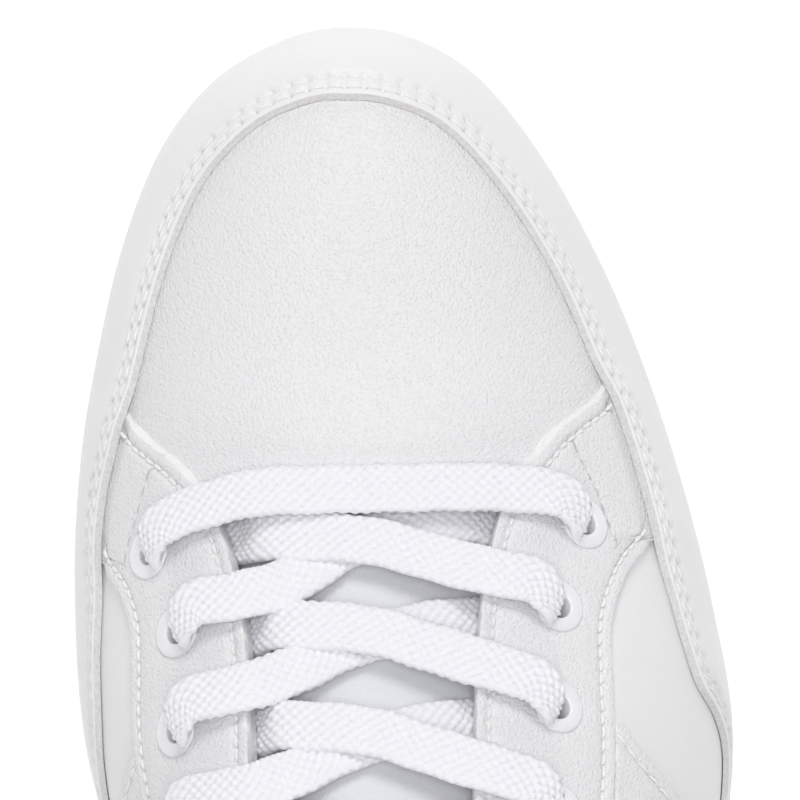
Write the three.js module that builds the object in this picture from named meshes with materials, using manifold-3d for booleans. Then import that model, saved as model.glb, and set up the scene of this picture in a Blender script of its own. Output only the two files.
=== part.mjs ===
// A right-foot low cheer shoe: white leather upper on a flat rubber sole, a padded tongue and a flat lace.
// Millimetres. +Y points to the toe, +X to the outer (lateral) side and +Z up. Z = 0 is the ground.
//
// The upper is drawn on one reference surface. A station runs round the rim of the last: 0 at the toe tip,
// +16 down the lateral side to the heel and -16 down the medial side. An angle climbs the wall from the
// widest line (0) to the instep ridge (90 degrees). A layer is a sheet at an offset along the normal.
import * as THREE from "three";
import Module from "manifold-3d";

const wasm = await Module();
wasm.setup();

// ---------- driving dimensions ----------
const TOE_SPRING = 9;
const HEEL_SPRING = 2;
const SPRING_START = 70;
const HEEL_START = -115;
const FOREFOOT_SOLE = 11.5;
const HEEL_SOLE = 20;
const RUBBER = 4;
const FEATHER_RISE = 2.5;
const OVERLAY = [-1.2, 0];
const BASE = [-2.9, -1.8];
const STIFFENER = [-4.2, -3.4];
const THIN_LINING = [-4.1, -3.3];
const LINING = 0.8;
const DEEP_LINING = -4.8;
const TONGUE_FACE = -6.9;
const SEAM_GAP = 1.2; // degrees left between two panels of one layer
const TURNED_FOOT = [-72, -35]; // degrees: the overlays turn in under the rim
const EYELET = { bore: 1.9, barrel: 2.4, flange: 4, hole: 2.9 };
const LACE = { halfWidth: 3.8, halfThick: 0.65, pinchedWidth: 1.5, pinchedThick: 0.8 };
const LACE_BOW = { over: 6.4, under: 5.25 }; // how far the strands bow towards the toe
// The first two strands ride up further, near this share of the way across.
const FIRST_HUMP = {
  over: { height: 0.8, centre: 0.12, width: 0.14 },
  under: { height: 1.4, centre: 0.34, width: 0.2 },
};
const COLLAR_DEPTH = 24;
const COLLAR_BULGE = 4.5;

// Rim points of each station on the two sides, and the instep ridge point between them.
const STATIONS = [
  { lateral: [-9, 136], medial: [-9, 136], ridge: [-8, 101, 46] },
  { lateral: [1.1, 134.5], medial: [-18, 134.2], ridge: [-8, 100.4, 46] },
  { lateral: [11.3, 128.4], medial: [-28.3, 128.4], ridge: [-7.9, 99.3, 46] },
  { lateral: [21.1, 116.2], medial: [-36.5, 118.3], ridge: [-7.7, 97, 46] },
  { lateral: [29.6, 101], medial: [-42.4, 104], ridge: [-7.3, 93, 46.3] },
  { lateral: [36, 86], medial: [-46.3, 88], ridge: [-7, 84.5, 47.6] },
  { lateral: [42, 68], medial: [-49.2, 70], ridge: [-6.6, 70, 52] },
  { lateral: [46.7, 49.4], medial: [-50, 50], ridge: [-6.2, 50, 60] },
  { lateral: [50.05, 28], medial: [-48.4, 28], ridge: [-6, 28, 69] },
  { lateral: [47.5, 4], medial: [-42.5, 4], ridge: [-5.5, 4, 79.5] },
  { lateral: [42, -22], medial: [-36.8, -22], ridge: [-4.5, -22, 91] },
  { lateral: [37.5, -50], medial: [-34.3, -50], ridge: [-3, -48, 104] },
  { lateral: [34.5, -78], medial: [-33.5, -78], ridge: [-2, -72, 114] },
  { lateral: [31, -102], medial: [-31, -102], ridge: [-1.5, -88, 120] },
  { lateral: [22.5, -122], medial: [-23, -122], ridge: [-1, -94, 122] },
  { lateral: [11, -133], medial: [-12.5, -133], ridge: [-1, -96, 122] },
  { lateral: [-1, -136.17], medial: [-1, -136.17], ridge: [-1, -97, 122] },
];

// Panel edges as [station, degrees], toe first.
const MUDGUARD_TOP = {
  lateral: [[0, 45.3], [1, 44.3], [2, 41.3], [3, 37.6], [4, 34.2], [5, 32], [5.4, 30.1], [6, 29], [6.5, 28.4],
    [7, 26], [7.3, 24.4], [7.6, 21.4], [7.82, 14.2], [8.1, 7.5], [8.5, 5.5], [9, 5]],
  medial: [[0, 45.3], [1.5, 42.5], [2.4, 40.3], [3.4, 36.7], [4.5, 33.6], [5.35, 31.2], [5.9, 28], [6.25, 25.3],
    [7, 22.7], [7.4, 20.6], [7.85, 18.2], [8.2, 13.5], [8.5, 8], [9, 5.5]],
};
const THROAT = {
  lateral: [[5.28, 33.5], [5.36, 36.6], [5.46, 42.4], [5.63, 50], [5.85, 56.1], [6.0, 60.5], [6.2, 64], [6.57, 67.8],
    [6.96, 70.3], [7.64, 72.4], [8.4, 73], [9.2, 72], [9.6, 69], [9.82, 63]],
  medial: [[5.62, 32], [5.68, 34.5], [5.81, 40.5], [5.94, 47.3], [6.1, 53], [6.3, 58.5], [6.63, 63], [6.95, 65.3],
    [7.31, 66.8], [8, 66.6], [8.6, 65], [9.2, 63], [9.6, 61], [9.82, 56.5]],
};
const EYESTAY_OUTER = {
  lateral: [[6.47, 29.7], [6.56, 32.5], [6.66, 37], [6.78, 40.7], [6.96, 44], [7.16, 46.4], [7.66, 48.2], [8.3, 48.9],
    [9, 50], [9.82, 51.5]],
  medial: [[6.7, 24.9], [6.79, 26.9], [6.87, 30.4], [6.95, 33.6], [7.06, 35.8], [7.2, 37.4], [7.5, 37.6], [7.88, 36.6],
    [8.3, 36.6], [9, 38.5], [9.82, 41]],
};
const REAR_DIAGONAL = {
  lateral: [[7.82, 46.6], [8.0, 42.5], [8.3, 33], [8.7, 19], [9.05, 6.4]],
  medial: [[8.05, 34.6], [8.3, 27], [8.6, 17.5], [9.05, 7]],
};
// Height of the collar edge by station, the same on both sides.
const COLLAR_HEIGHT = [[9.82, 78.5], [10.3, 74.5], [10.8, 69.3], [11.4, 65], [12.1, 62.5], [12.9, 63.5], [13.8, 68],
  [14.8, 74.5], [15.5, 77], [16, 77.5]];
const EYELETS = {
  lateral: [[26.7, 61.5], [22.7, 49.4], [22.5, 34.8], [22.2, 20], [21.5, 5.5], [20.5, -9]],
  medial: [[-37.8, 57.1], [-33.4, 45.6], [-33.4, 31.2], [-33, 16.5], [-31.5, 2.5], [-29.5, -12]],
};

// ---------- the reference surface ----------
const LAST = STATIONS.length - 1;
const QUARTER_TURN = 90;
const SIDES = { lateral: 1, medial: -1 };
const RIM = [
  ...STATIONS.map((s) => s.lateral),
  ...STATIONS.slice(1, LAST).reverse().map((s) => s.medial),
];
const radians = THREE.MathUtils.degToRad;
const smooth = (t) => THREE.MathUtils.smoothstep(t, 0, 1);

function springZ(y) {
  if (y > SPRING_START) return TOE_SPRING * ((y - SPRING_START) / (136 - SPRING_START)) ** 2;
  if (y < HEEL_START) return HEEL_SPRING * ((HEEL_START - y) / (136 + HEEL_START)) ** 2;
  return 0;
}

function featherZ(y) {
  return springZ(y) + FOREFOOT_SOLE + (HEEL_SOLE - FOREFOOT_SOLE) * smooth((40 - y) / 130);
}

function catmullRom(p0, p1, p2, p3, t) {
  return p1.map((_, k) => {
    const a = 2 * p1[k];
    const b = p2[k] - p0[k];
    const c = 2 * p0[k] - 5 * p1[k] + 4 * p2[k] - p3[k];
    const d = 3 * p1[k] - p0[k] - 3 * p2[k] + p3[k];
    return 0.5 * (a + b * t + c * t * t + d * t ** 3);
  });
}

function rim(station) {
  const n = RIM.length;
  const s = ((station % n) + n) % n;
  const i = Math.floor(s);
  const at = (j) => RIM[((j % n) + n) % n];
  return catmullRom(at(i - 1), at(i), at(i + 1), at(i + 2), s - i);
}

function ridge(station) {
  const s = LAST - Math.abs(LAST - Math.abs(station));
  const i = Math.min(LAST - 1, Math.floor(s));
  const at = (j) => STATIONS[LAST - Math.abs(LAST - Math.abs(j))].ridge;
  return catmullRom(at(i - 1), at(i), at(i + 1), at(i + 2), s - i);
}

function onSurface(station, degrees) {
  const [px, py] = rim(station);
  const [qx, qy, qz] = ridge(station);
  const angle = radians(degrees);
  const z0 = featherZ(py) + FEATHER_RISE;
  const inward = 1 - Math.cos(angle);
  if (degrees >= 0) {
    return new THREE.Vector3(px + (qx - px) * inward, py + (qy - py) * inward, z0 + (qz - z0) * Math.sin(angle));
  }
  const k = inward / Math.hypot(qx - px, qy - py); // below the widest line the wall turns in by 1 mm
  return new THREE.Vector3(px + (qx - px) * k, py + (qy - py) * k, z0 + FEATHER_RISE * Math.sin(angle));
}

function alongRim(station, degrees) {
  const e = 0.01;
  return onSurface(station + e, degrees).sub(onSurface(station - e, degrees)).normalize();
}

function sideNormal(station, degrees) {
  const e = 0.2;
  const up = onSurface(station, degrees + e).sub(onSurface(station, degrees - e));
  return up.cross(alongRim(station, degrees)).normalize();
}

function normal(station, degrees) {
  if (degrees < QUARTER_TURN - 0.5) return sideNormal(station, degrees);
  const below = QUARTER_TURN - 0.5; // the two sides share one normal on the ridge
  return sideNormal(station, below).add(sideNormal(-station, below)).normalize();
}

function layer(station, degrees, offset) {
  return onSurface(station, degrees).addScaledVector(normal(station, degrees), offset);
}

function angleAtHeight(station, z) {
  const z0 = featherZ(rim(station)[1]) + FEATHER_RISE;
  return THREE.MathUtils.radToDeg(Math.asin(Math.min(1, (z - z0) / (ridge(station)[2] - z0))));
}

// Station and angle of the surface point above a plan point on one side, by Newton's method.
function below(x, y, side) {
  let station = side * 8;
  let degrees = 45;
  for (let i = 0; i < 60; i++) {
    const e = 0.001;
    const p = onSurface(station, degrees);
    const ds = onSurface(station + e, degrees).sub(p).divideScalar(e);
    const dd = onSurface(station, degrees + e).sub(p).divideScalar(e);
    const det = ds.x * dd.y - dd.x * ds.y;
    const step = ((x - p.x) * dd.y - (y - p.y) * dd.x) / det;
    const turn = ((y - p.y) * ds.x - (x - p.x) * ds.y) / det;
    station += THREE.MathUtils.clamp(step, -0.5, 0.5);
    degrees = THREE.MathUtils.clamp(degrees + THREE.MathUtils.clamp(turn, -8, 8), 1, 89);
  }
  return { station, degrees };
}

// Value of a [station, value] edge at a station, by a smooth curve through its points.
function along(edge, station) {
  const s = THREE.MathUtils.clamp(Math.abs(station), edge[0][0], edge[edge.length - 1][0]);
  const i = Math.max(0, edge.findIndex((p, j) => j < edge.length - 1 && s <= edge[j + 1][0]));
  const slope = (j) => {
    const a = edge[Math.max(0, j - 1)];
    const b = edge[Math.min(edge.length - 1, j + 1)];
    return (b[1] - a[1]) / (b[0] - a[0]);
  };
  const [s0, v0] = edge[i];
  const [s1, v1] = edge[i + 1];
  const h = s1 - s0;
  const t = (s - s0) / h;
  const rise = v1 - v0;
  const m0 = slope(i) * h;
  const m1 = slope(i + 1) * h;
  return v0 + m0 * t + (3 * rise - 2 * m0 - m1) * t * t + (m0 + m1 - 2 * rise) * t ** 3;
}

const collarHeight = (station) => along(COLLAR_HEIGHT, LAST - Math.abs(LAST - Math.abs(station)));
const collarAngle = (station, drop) => angleAtHeight(station, collarHeight(station) - drop);

// ---------- closed meshes ----------
class Skin {
  constructor() {
    this.keys = new Map();
    this.points = [];
    this.faces = [];
  }

  corner(p) {
    const key = [p.x, p.y, p.z].map((v) => Math.round(v * 2000)).join();
    if (!this.keys.has(key)) {
      this.keys.set(key, this.points.length / 3);
      this.points.push(p.x, p.y, p.z);
    }
    return this.keys.get(key);
  }

  triangle(a, b, c) {
    const face = [a, b, c].map((p) => this.corner(p));
    if (new Set(face).size === 3) this.faces.push(...face);
  }

  quad(a, b, c, d) {
    this.triangle(a, b, c);
    this.triangle(a, c, d);
  }

  geometry() {
    const made = new THREE.BufferGeometry();
    made.setAttribute("position", new THREE.Float32BufferAttribute(this.points, 3));
    made.setIndex(this.faces);
    return made;
  }
}

function solidOf(geometry) {
  const plain = geometry.index ? geometry.toNonIndexed() : geometry;
  const p = plain.getAttribute("position");
  const skin = new Skin();
  const at = (i) => new THREE.Vector3().fromBufferAttribute(p, i);
  for (let i = 0; i < p.count; i += 3) skin.triangle(at(i), at(i + 1), at(i + 2));
  const solid = (flip) => new wasm.Manifold(new wasm.Mesh({
    numProp: 3,
    vertProperties: new Float32Array(skin.points),
    triVerts: new Uint32Array(flip ? skin.faces.slice().reverse() : skin.faces),
  }));
  const made = solid(false);
  return made.volume() > 0 ? made : solid(true);
}

function geometryOf(solid) {
  const mesh = solid.getMesh();
  const made = new THREE.BufferGeometry();
  made.setAttribute("position", new THREE.BufferAttribute(mesh.vertProperties, 3));
  made.setIndex(new THREE.BufferAttribute(mesh.triVerts, 1));
  return made;
}

function cut(geometry, cutters) {
  return geometryOf(cutters.reduce((solid, cutter) => solid.subtract(cutter), solidOf(geometry)));
}

function steps(from, to, size) {
  const count = Math.max(1, Math.round(Math.abs(to - from) / size));
  return Array.from({ length: count + 1 }, (_, i) => from + ((to - from) * i) / count);
}

// A sheet between two offsets. grid[row][column] is [station, degrees]; folded sheets close on the ridge.
function sheet(grid, offsets, folded = false) {
  const skin = new Skin();
  const offsetAt = typeof offsets === "function" ? offsets : () => offsets;
  const place = (k) => grid.map((row) => row.map(([s, d]) => layer(s, d, offsetAt(s, d)[k])));
  const inner = place(0);
  const outer = place(1);
  const rows = grid.length - 1;
  const columns = grid[0].length - 1;
  for (let r = 0; r < rows; r++) {
    for (let c = 0; c < columns; c++) {
      skin.quad(outer[r][c], outer[r + 1][c], outer[r + 1][c + 1], outer[r][c + 1]);
      skin.quad(inner[r][c], inner[r][c + 1], inner[r + 1][c + 1], inner[r + 1][c]);
    }
    skin.quad(outer[r][0], inner[r][0], inner[r + 1][0], outer[r + 1][0]);
    skin.quad(outer[r + 1][columns], inner[r + 1][columns], inner[r][columns], outer[r][columns]);
  }
  for (let c = 0; c < columns; c++) {
    skin.quad(outer[0][c + 1], inner[0][c + 1], inner[0][c], outer[0][c]);
    if (!folded) skin.quad(outer[rows][c], inner[rows][c], inner[rows][c + 1], outer[rows][c + 1]);
  }
  return skin.geometry();
}

// A sheet between a lower and an upper edge, both functions of the station. Where its lower edge is the
// turned-in foot, the first rows follow the turn.
function panel(stations, lower, upper, rows, offsets) {
  const columns = stations.slice().sort((a, b) => a - b);
  const column = (s) => {
    const low = lower(s);
    const spread = (from, count) => Array.from({ length: count + 1 }, (_, r) =>
      [s, THREE.MathUtils.lerp(from, upper(s), r / count)]);
    const turn = TURNED_FOOT.length;
    return low > TURNED_FOOT[0] ? spread(low, rows) : [...TURNED_FOOT.map((d) => [s, d]), ...spread(0, rows - turn)];
  };
  const made = columns.map(column);
  return sheet(made[0].map((_, r) => made.map((c) => c[r])), offsets);
}

function inset(station, distance) {
  const e = 0.01;
  const [x0, y0] = rim(station - e);
  const [x1, y1] = rim(station + e);
  const length = Math.hypot(x1 - x0, y1 - y0);
  const [x, y] = rim(station);
  return [x + ((y1 - y0) / length) * distance, y - ((x1 - x0) / length) * distance];
}

// A layer of the sole: rings of the rim outline, each with an inset and a height that follows the length.
function slab(rings) {
  const skin = new Skin();
  const stations = steps(0, LAST, 0.5);
  const ring = (side, { inset: d, z }) => stations.map((s) => {
    const [x, y] = inset(side * s, d);
    return new THREE.Vector3(x, y, z(y));
  });
  const lateral = rings.map((r) => ring(1, r));
  const medial = rings.map((r) => ring(-1, r));
  const top = rings.length - 1;
  for (let i = 0; i < stations.length - 1; i++) {
    for (let k = 0; k < top; k++) {
      skin.quad(lateral[k][i], lateral[k + 1][i], lateral[k + 1][i + 1], lateral[k][i + 1]);
      skin.quad(medial[k][i + 1], medial[k + 1][i + 1], medial[k + 1][i], medial[k][i]);
    }
    skin.quad(lateral[0][i], lateral[0][i + 1], medial[0][i + 1], medial[0][i]);
    skin.quad(medial[top][i], medial[top][i + 1], lateral[top][i + 1], lateral[top][i]);
  }
  return skin.geometry();
}

// ---------- materials and nodes ----------
const shoe = new THREE.Group();
const finish = (color, roughness) => new THREE.MeshStandardMaterial({ color, roughness });
const LEATHER = finish(0xf4f4f2, 0.5);
const SMOOTH_LEATHER = finish(0xeeeeee, 0.4);
const TEXTILE = finish(0xe6e8ec, 0.9);
const FOAM = finish(0xe8e4d0, 0.95);
const BOARD = finish(0xcbb892, 0.9);
const STIFF_BOARD = finish(0xd9d2c0, 0.8);
const RUBBER_FINISH = finish(0xf0f0ee, 0.6);
const PLASTIC = finish(0xf7f7f7, 0.3);

function add(name, geometry, material) {
  const mesh = new THREE.Mesh(geometry, material);
  mesh.name = name;
  shoe.add(mesh);
  return mesh;
}

// ---------- sole ----------
function addSole() {
  const above = (rise) => (y) => springZ(y) + rise;
  const fromTop = (rise) => (y) => featherZ(y) + rise;
  const middle = (y) => (springZ(y) + RUBBER + featherZ(y)) / 2;
  add("outsole", slab([
    { inset: 3, z: above(0) }, { inset: 1.5, z: above(1.2) }, { inset: 1.1, z: above(RUBBER) },
  ]), RUBBER_FINISH);
  add("midsole", slab([
    { inset: 1.1, z: above(RUBBER + 0.3) }, { inset: 0.6, z: middle }, { inset: 1, z: fromTop(-0.3) },
  ]), RUBBER_FINISH);
  add("insole_board", slab([{ inset: 2.9, z: fromTop(0.2) }, { inset: 2.9, z: fromTop(1.8) }]), BOARD);
  add("sockliner", slab([{ inset: 7.4, z: fromTop(2.3) }, { inset: 7.1, z: fromTop(6.3) }]), FOAM);
}

// ---------- upper ----------
const BASE_FOOT = 3;
const VAMP_BACK = 6.2;
const QUARTER_FRONT = 6.26;
const MUDGUARD_BACK = 9;
const LINING_BACK = 10.6;
const REAR_BACK = 13.4;

function foldedGrid(back, low, rows) {
  const columns = steps(-back, back, 0.5);
  return Array.from({ length: rows + 1 }, (_, r) =>
    columns.map((s) => [s, THREE.MathUtils.lerp(low(s), QUARTER_TURN, r / rows)]));
}

const vampLiningOffset = (s) => {
  const depth = THREE.MathUtils.lerp(DEEP_LINING, THIN_LINING[1], smooth((Math.abs(s) - 3.9) / 1.5));
  return [depth - LINING, depth];
};

function addFront() {
  const foot = () => BASE_FOOT;
  add("vamp", sheet(foldedGrid(VAMP_BACK, foot, 7), BASE, true), LEATHER);
  add("vamp_lining", sheet(foldedGrid(VAMP_BACK, foot, 5), vampLiningOffset, true), TEXTILE);
  const puffTop = (s) => 62 - 2.2 * s * s;
  const puffStations = steps(-3.5, 3.5, 0.5);
  add("toe_puff", panel(puffStations, foot, puffTop, 4, STIFFENER), STIFF_BOARD);
  const top = (s) => along(MUDGUARD_TOP[s > 0 ? "lateral" : "medial"], s);
  const columns = steps(-MUDGUARD_BACK, MUDGUARD_BACK, 0.5);
  add("mudguard", panel(columns, () => TURNED_FOOT[0], top, 5, OVERLAY), SMOOTH_LEATHER);
}

const UP_Y = new THREE.Vector3(0, 1, 0); // the axis that three.js turns its cylinders and lathes round
const DRILL_LENGTH = 14;

function eyeletHoles(name) {
  const side = SIDES[name];
  return EYELETS[name].map(([x, y]) => {
    const { station, degrees } = below(x, y, side);
    const drill = new THREE.CylinderGeometry(EYELET.hole, EYELET.hole, DRILL_LENGTH, 8);
    drill.applyQuaternion(new THREE.Quaternion().setFromUnitVectors(UP_Y, normal(station, degrees)));
    drill.translate(...onSurface(station, degrees).toArray());
    return solidOf(drill);
  });
}

function addSide(name) {
  const side = SIDES[name];
  const holes = eyeletHoles(name);
  const stations = (from, to, size) => steps(side * from, side * to, size);
  const edge = (points) => (s) => along(points, s);
  const throat = edge(THROAT[name]);
  const outer = edge(EYESTAY_OUTER[name]);
  const mudguard = edge(MUDGUARD_TOP[name]);
  const tip = THROAT[name][0][0];
  const eyestayEnd = THROAT[name].at(-1)[0];
  const outerStart = EYESTAY_OUTER[name][0][0];
  const wing = stations(tip, outerStart, 0.15);
  const band = stations(outerStart, eyestayEnd, 0.37).slice(1);
  const eyestayLow = (s) => (Math.abs(s) <= outerStart ? mudguard(s) + SEAM_GAP : outer(s));
  const eyestay = panel([...wing, ...band], eyestayLow, throat, 4, OVERLAY);
  add("eyestay_" + name, cut(eyestay, holes), LEATHER);

  // The quarter reaches the throat edge in front and the collar edge behind.
  const edgeTop = (s) => {
    const a = Math.abs(s);
    if (a <= eyestayEnd) return throat(s) - 0.8;
    return THREE.MathUtils.lerp(throat(side * eyestayEnd), collarAngle(s, 0), smooth((a - eyestayEnd) / 0.5));
  };
  const front = stations(QUARTER_FRONT, eyestayEnd, 0.5);
  const corner = stations(eyestayEnd, LINING_BACK, 0.3).slice(1);
  const collar = [...corner, ...stations(LINING_BACK, LAST - 0.03, 0.6).slice(1)];
  const foot = () => BASE_FOOT;
  const quarter = panel([...front, ...collar], foot, edgeTop, 6, BASE);
  add("quarter_" + name, cut(quarter, holes), SMOOTH_LEATHER);
  const quarterLining = panel([...front, ...corner], foot, edgeTop, 6, THIN_LINING);
  add("quarter_lining_" + name, cut(quarterLining, holes), TEXTILE);

  // The rear overlay starts on a diagonal under the eyestay and notches over the end of the mudguard.
  const diagonal = REAR_DIAGONAL[name];
  const start = diagonal[0][0];
  const notch = diagonal.at(-1)[0];
  const rearLow = (s) => (Math.abs(s) <= notch ? along(diagonal, s) : TURNED_FOOT[0]);
  const rearTop = (s) => {
    const a = Math.abs(s);
    const underEyestay = outer(s) - SEAM_GAP;
    const underCollar = collarAngle(s, 9);
    return THREE.MathUtils.lerp(underEyestay, underCollar, smooth((a - eyestayEnd - 0.05) / 0.7));
  };
  const rear = [...stations(start, notch, 0.3), ...stations(notch + 0.01, REAR_BACK, 0.45)];
  add("quarter_overlay_" + name, panel(rear, rearLow, rearTop, 7, OVERLAY), LEATHER);
}

// Pieces that run round the heel, from one side's station to the same station of the other side.
function heelPanel(from, low, top, rows, offsets) {
  return panel(steps(from, 2 * LAST - from, 0.55), low, top, rows, offsets);
}

const collarBulge = (s, degrees) => {
  const p = onSurface(s, degrees);
  const t = (collarHeight(s) - p.z) / COLLAR_DEPTH;
  const fade = smooth((LAST - Math.abs(LAST - s) - LINING_BACK) / 1.2);
  return t <= 0 || t >= 1 ? 0 : COLLAR_BULGE * Math.sin(Math.PI * t) * fade;
};

// Front stations of the heel pieces, and how far the heel tab hangs below the collar's edge.
const COUNTER_FRONT = 12.2;
const PADDING_FRONT = 10.8;
const TAB_FRONT = 14.2;
const TAB_DROP = 21.4;

function addHeel() {
  const foot = () => BASE_FOOT;
  const turned = () => TURNED_FOOT[0];
  const drop = (mm) => (s) => collarAngle(s, mm);
  const foam = (s, d) => [-4.3 - collarBulge(s, d), STIFFENER[1] + 0.1];
  const lining = (s, d) => [DEEP_LINING - LINING - collarBulge(s, d), DEEP_LINING - collarBulge(s, d)];
  add("heel_counter", heelPanel(COUNTER_FRONT, foot, drop(COLLAR_DEPTH + 2), 4, STIFFENER), STIFF_BOARD);
  add("collar_padding", heelPanel(PADDING_FRONT, drop(COLLAR_DEPTH), drop(2), 6, foam), FOAM);
  add("heel_lining", heelPanel(LINING_BACK + 0.05, foot, drop(0), 9, lining), TEXTILE);
  add("heel_overlay", heelPanel(REAR_BACK + 0.05, turned, drop(TAB_DROP + 0.6), 5, OVERLAY), SMOOTH_LEATHER);
  add("heel_tab", heelPanel(TAB_FRONT, drop(TAB_DROP), drop(0.4), 3, OVERLAY), LEATHER);
}

// ---------- tongue ----------
const TONGUE = { front: 5.9, hinge: 9.66, back: 10.85, face: 1.2, lining: 0.8, gap: 0.3 };
const TONGUE_EDGE = {
  lateral: [[5.9, 66], [6.6, 62], [7.4, 60.5], [8.5, 59], [9.5, 57], [10, 54], [10.4, 51], [10.85, 53]],
  medial: [[5.9, 60], [6.6, 56], [7.4, 54.5], [8.5, 52], [9.5, 50], [10, 47.5], [10.4, 45], [10.85, 47]],
};
const tongueLift = (s) => TONGUE_FACE + 4 * smooth((Math.abs(s) - 10) / 0.9);
const tonguePad = (s) => 3 + 3.5 * smooth((Math.abs(s) - 8) / 1.8);

function tonguePiece(from, to, low, high) {
  const rows = steps(from, to, 0.5);
  const across = steps(-1, 1, 0.25);
  const skin = new Skin();
  const place = (depth) => rows.map((s) => across.map((u) => {
    const name = u < 0 ? "medial" : "lateral";
    const degrees = THREE.MathUtils.lerp(QUARTER_TURN, along(TONGUE_EDGE[name], s), Math.abs(u));
    return layer((u < 0 ? -1 : 1) * s, degrees, tongueLift(s) + depth(s));
  }));
  const outer = place(high);
  const inner = place(low);
  const last = across.length - 1;
  for (let r = 0; r < rows.length - 1; r++) {
    for (let c = 0; c < last; c++) {
      skin.quad(outer[r][c], outer[r + 1][c], outer[r + 1][c + 1], outer[r][c + 1]);
      skin.quad(inner[r][c], inner[r][c + 1], inner[r + 1][c + 1], inner[r + 1][c]);
    }
    skin.quad(outer[r][0], inner[r][0], inner[r + 1][0], outer[r + 1][0]);
    skin.quad(outer[r + 1][last], inner[r + 1][last], inner[r][last], outer[r][last]);
  }
  const end = rows.length - 1;
  for (let c = 0; c < last; c++) {
    skin.quad(outer[0][c + 1], inner[0][c + 1], inner[0][c], outer[0][c]);
    skin.quad(outer[end][c], inner[end][c], inner[end][c + 1], outer[end][c + 1]);
  }
  return geometryOf(solidOf(skin.geometry()));
}

function addTongue() {
  const { face, lining, gap } = TONGUE;
  const padTop = () => -face - gap;
  const padFoot = (s) => padTop() - tonguePad(s);
  const parts = [["lower", TONGUE.front, TONGUE.hinge - 0.04], ["upper", TONGUE.hinge + 0.04, TONGUE.back]];
  for (const [half, from, to] of parts) {
    add("tongue_face_" + half, tonguePiece(from, to, () => -face, () => 0), LEATHER);
    add("tongue_padding_" + half, tonguePiece(from, to, padFoot, padTop), FOAM);
    const top = (s) => padFoot(s) - gap;
    add("tongue_lining_" + half, tonguePiece(from, to, (s) => top(s) - lining, top), TEXTILE);
  }
}

// ---------- eyelets and lace ----------
const EYELET_PROFILE = [
  [EYELET.bore, -4.3], [EYELET.barrel, -4.3], [EYELET.barrel, 0.35], [EYELET.flange, 0.35], [3.9, 0.8], [3, 1.15],
  [2.2, 1.1], [EYELET.bore, 0.7], [EYELET.bore, -4.3],
];
const LANE = -5.6; // the lace runs between the lining and the tongue
const PAIRS = EYELETS.lateral.length;
// The straight bar bows forward over the back edge of the vamp: plan points and offsets.
const BAR = [[-22.5, 65.6, 1.1], [-14, 66.5, 0.1], [-1, 66.9, -0.3], [9.5, 66.8, 0.4], [17, 66.1, 1.35]];
const BAR_MIDDLE = -7;

function eyeletSeat(name, index) {
  const [x, y] = EYELETS[name][index];
  return { name, index, x, y, ...below(x, y, SIDES[name]) };
}

function addEyelets() {
  for (const name of Object.keys(SIDES)) {
    for (let i = 0; i < PAIRS; i++) {
      const seat = eyeletSeat(name, i);
      const ring = new THREE.LatheGeometry(EYELET_PROFILE.map(([r, y]) => new THREE.Vector2(r, y)), 10);
      const turned = geometryOf(solidOf(ring));
      const mesh = add(`eyelet_${name}_${i + 1}`, turned, PLASTIC);
      mesh.position.copy(onSurface(seat.station, seat.degrees));
      const out = normal(seat.station, seat.degrees);
      mesh.quaternion.setFromUnitVectors(UP_Y, out);
    }
  }
}

const heelward = (station, degrees) => alongRim(station, degrees).multiplyScalar(Math.sign(station));

// One point of the lace's route: where it is, which way its width lies, and how far it is pinched (0 to 1).
function routePoint(station, degrees, offset, pinch = 0) {
  return { at: layer(station, degrees, offset), across: heelward(station, degrees), pinch };
}

function overPlan(x, y, side, offset, pinch = 0) {
  const { station, degrees } = below(x, y, side);
  return routePoint(station, degrees, offset, pinch);
}

// A route point near an eyelet: its distance from the bore's axis towards a neighbour, and its height.
function nearEyelet(seat, neighbour, distance, height, pinch) {
  const out = normal(seat.station, seat.degrees);
  const centre = onSurface(seat.station, seat.degrees);
  const towards = new THREE.Vector3(neighbour.x, neighbour.y, centre.z).sub(centre);
  towards.addScaledVector(out, -towards.dot(out)).normalize();
  const across = heelward(seat.station, seat.degrees);
  across.addScaledVector(towards, -across.dot(towards)).normalize();
  return { at: centre.addScaledVector(towards, distance).addScaledVector(out, height), across, pinch };
}

// In through an eyelet from the outside, and out under the lining towards the next one.
const enter = (seat, from) => [[5.5, 2.2, 0.2], [2, 2.2, 0.85], [0.15, 0.9, 1], [0, -1.8, 1]].map(
  ([distance, height, pinch]) => nearEyelet(seat, from, distance, height, pinch));
const leaveInside = (seat, to) => [[0.1, -3.9, 1], [1.7, LANE, 0.8], [5.2, LANE, 0.3]].map(
  ([distance, height, pinch]) => nearEyelet(seat, to, distance, height, pinch));

const throatAt = (seat) => onSurface(seat.station, along(THROAT[seat.name], seat.station)).x;

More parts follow.
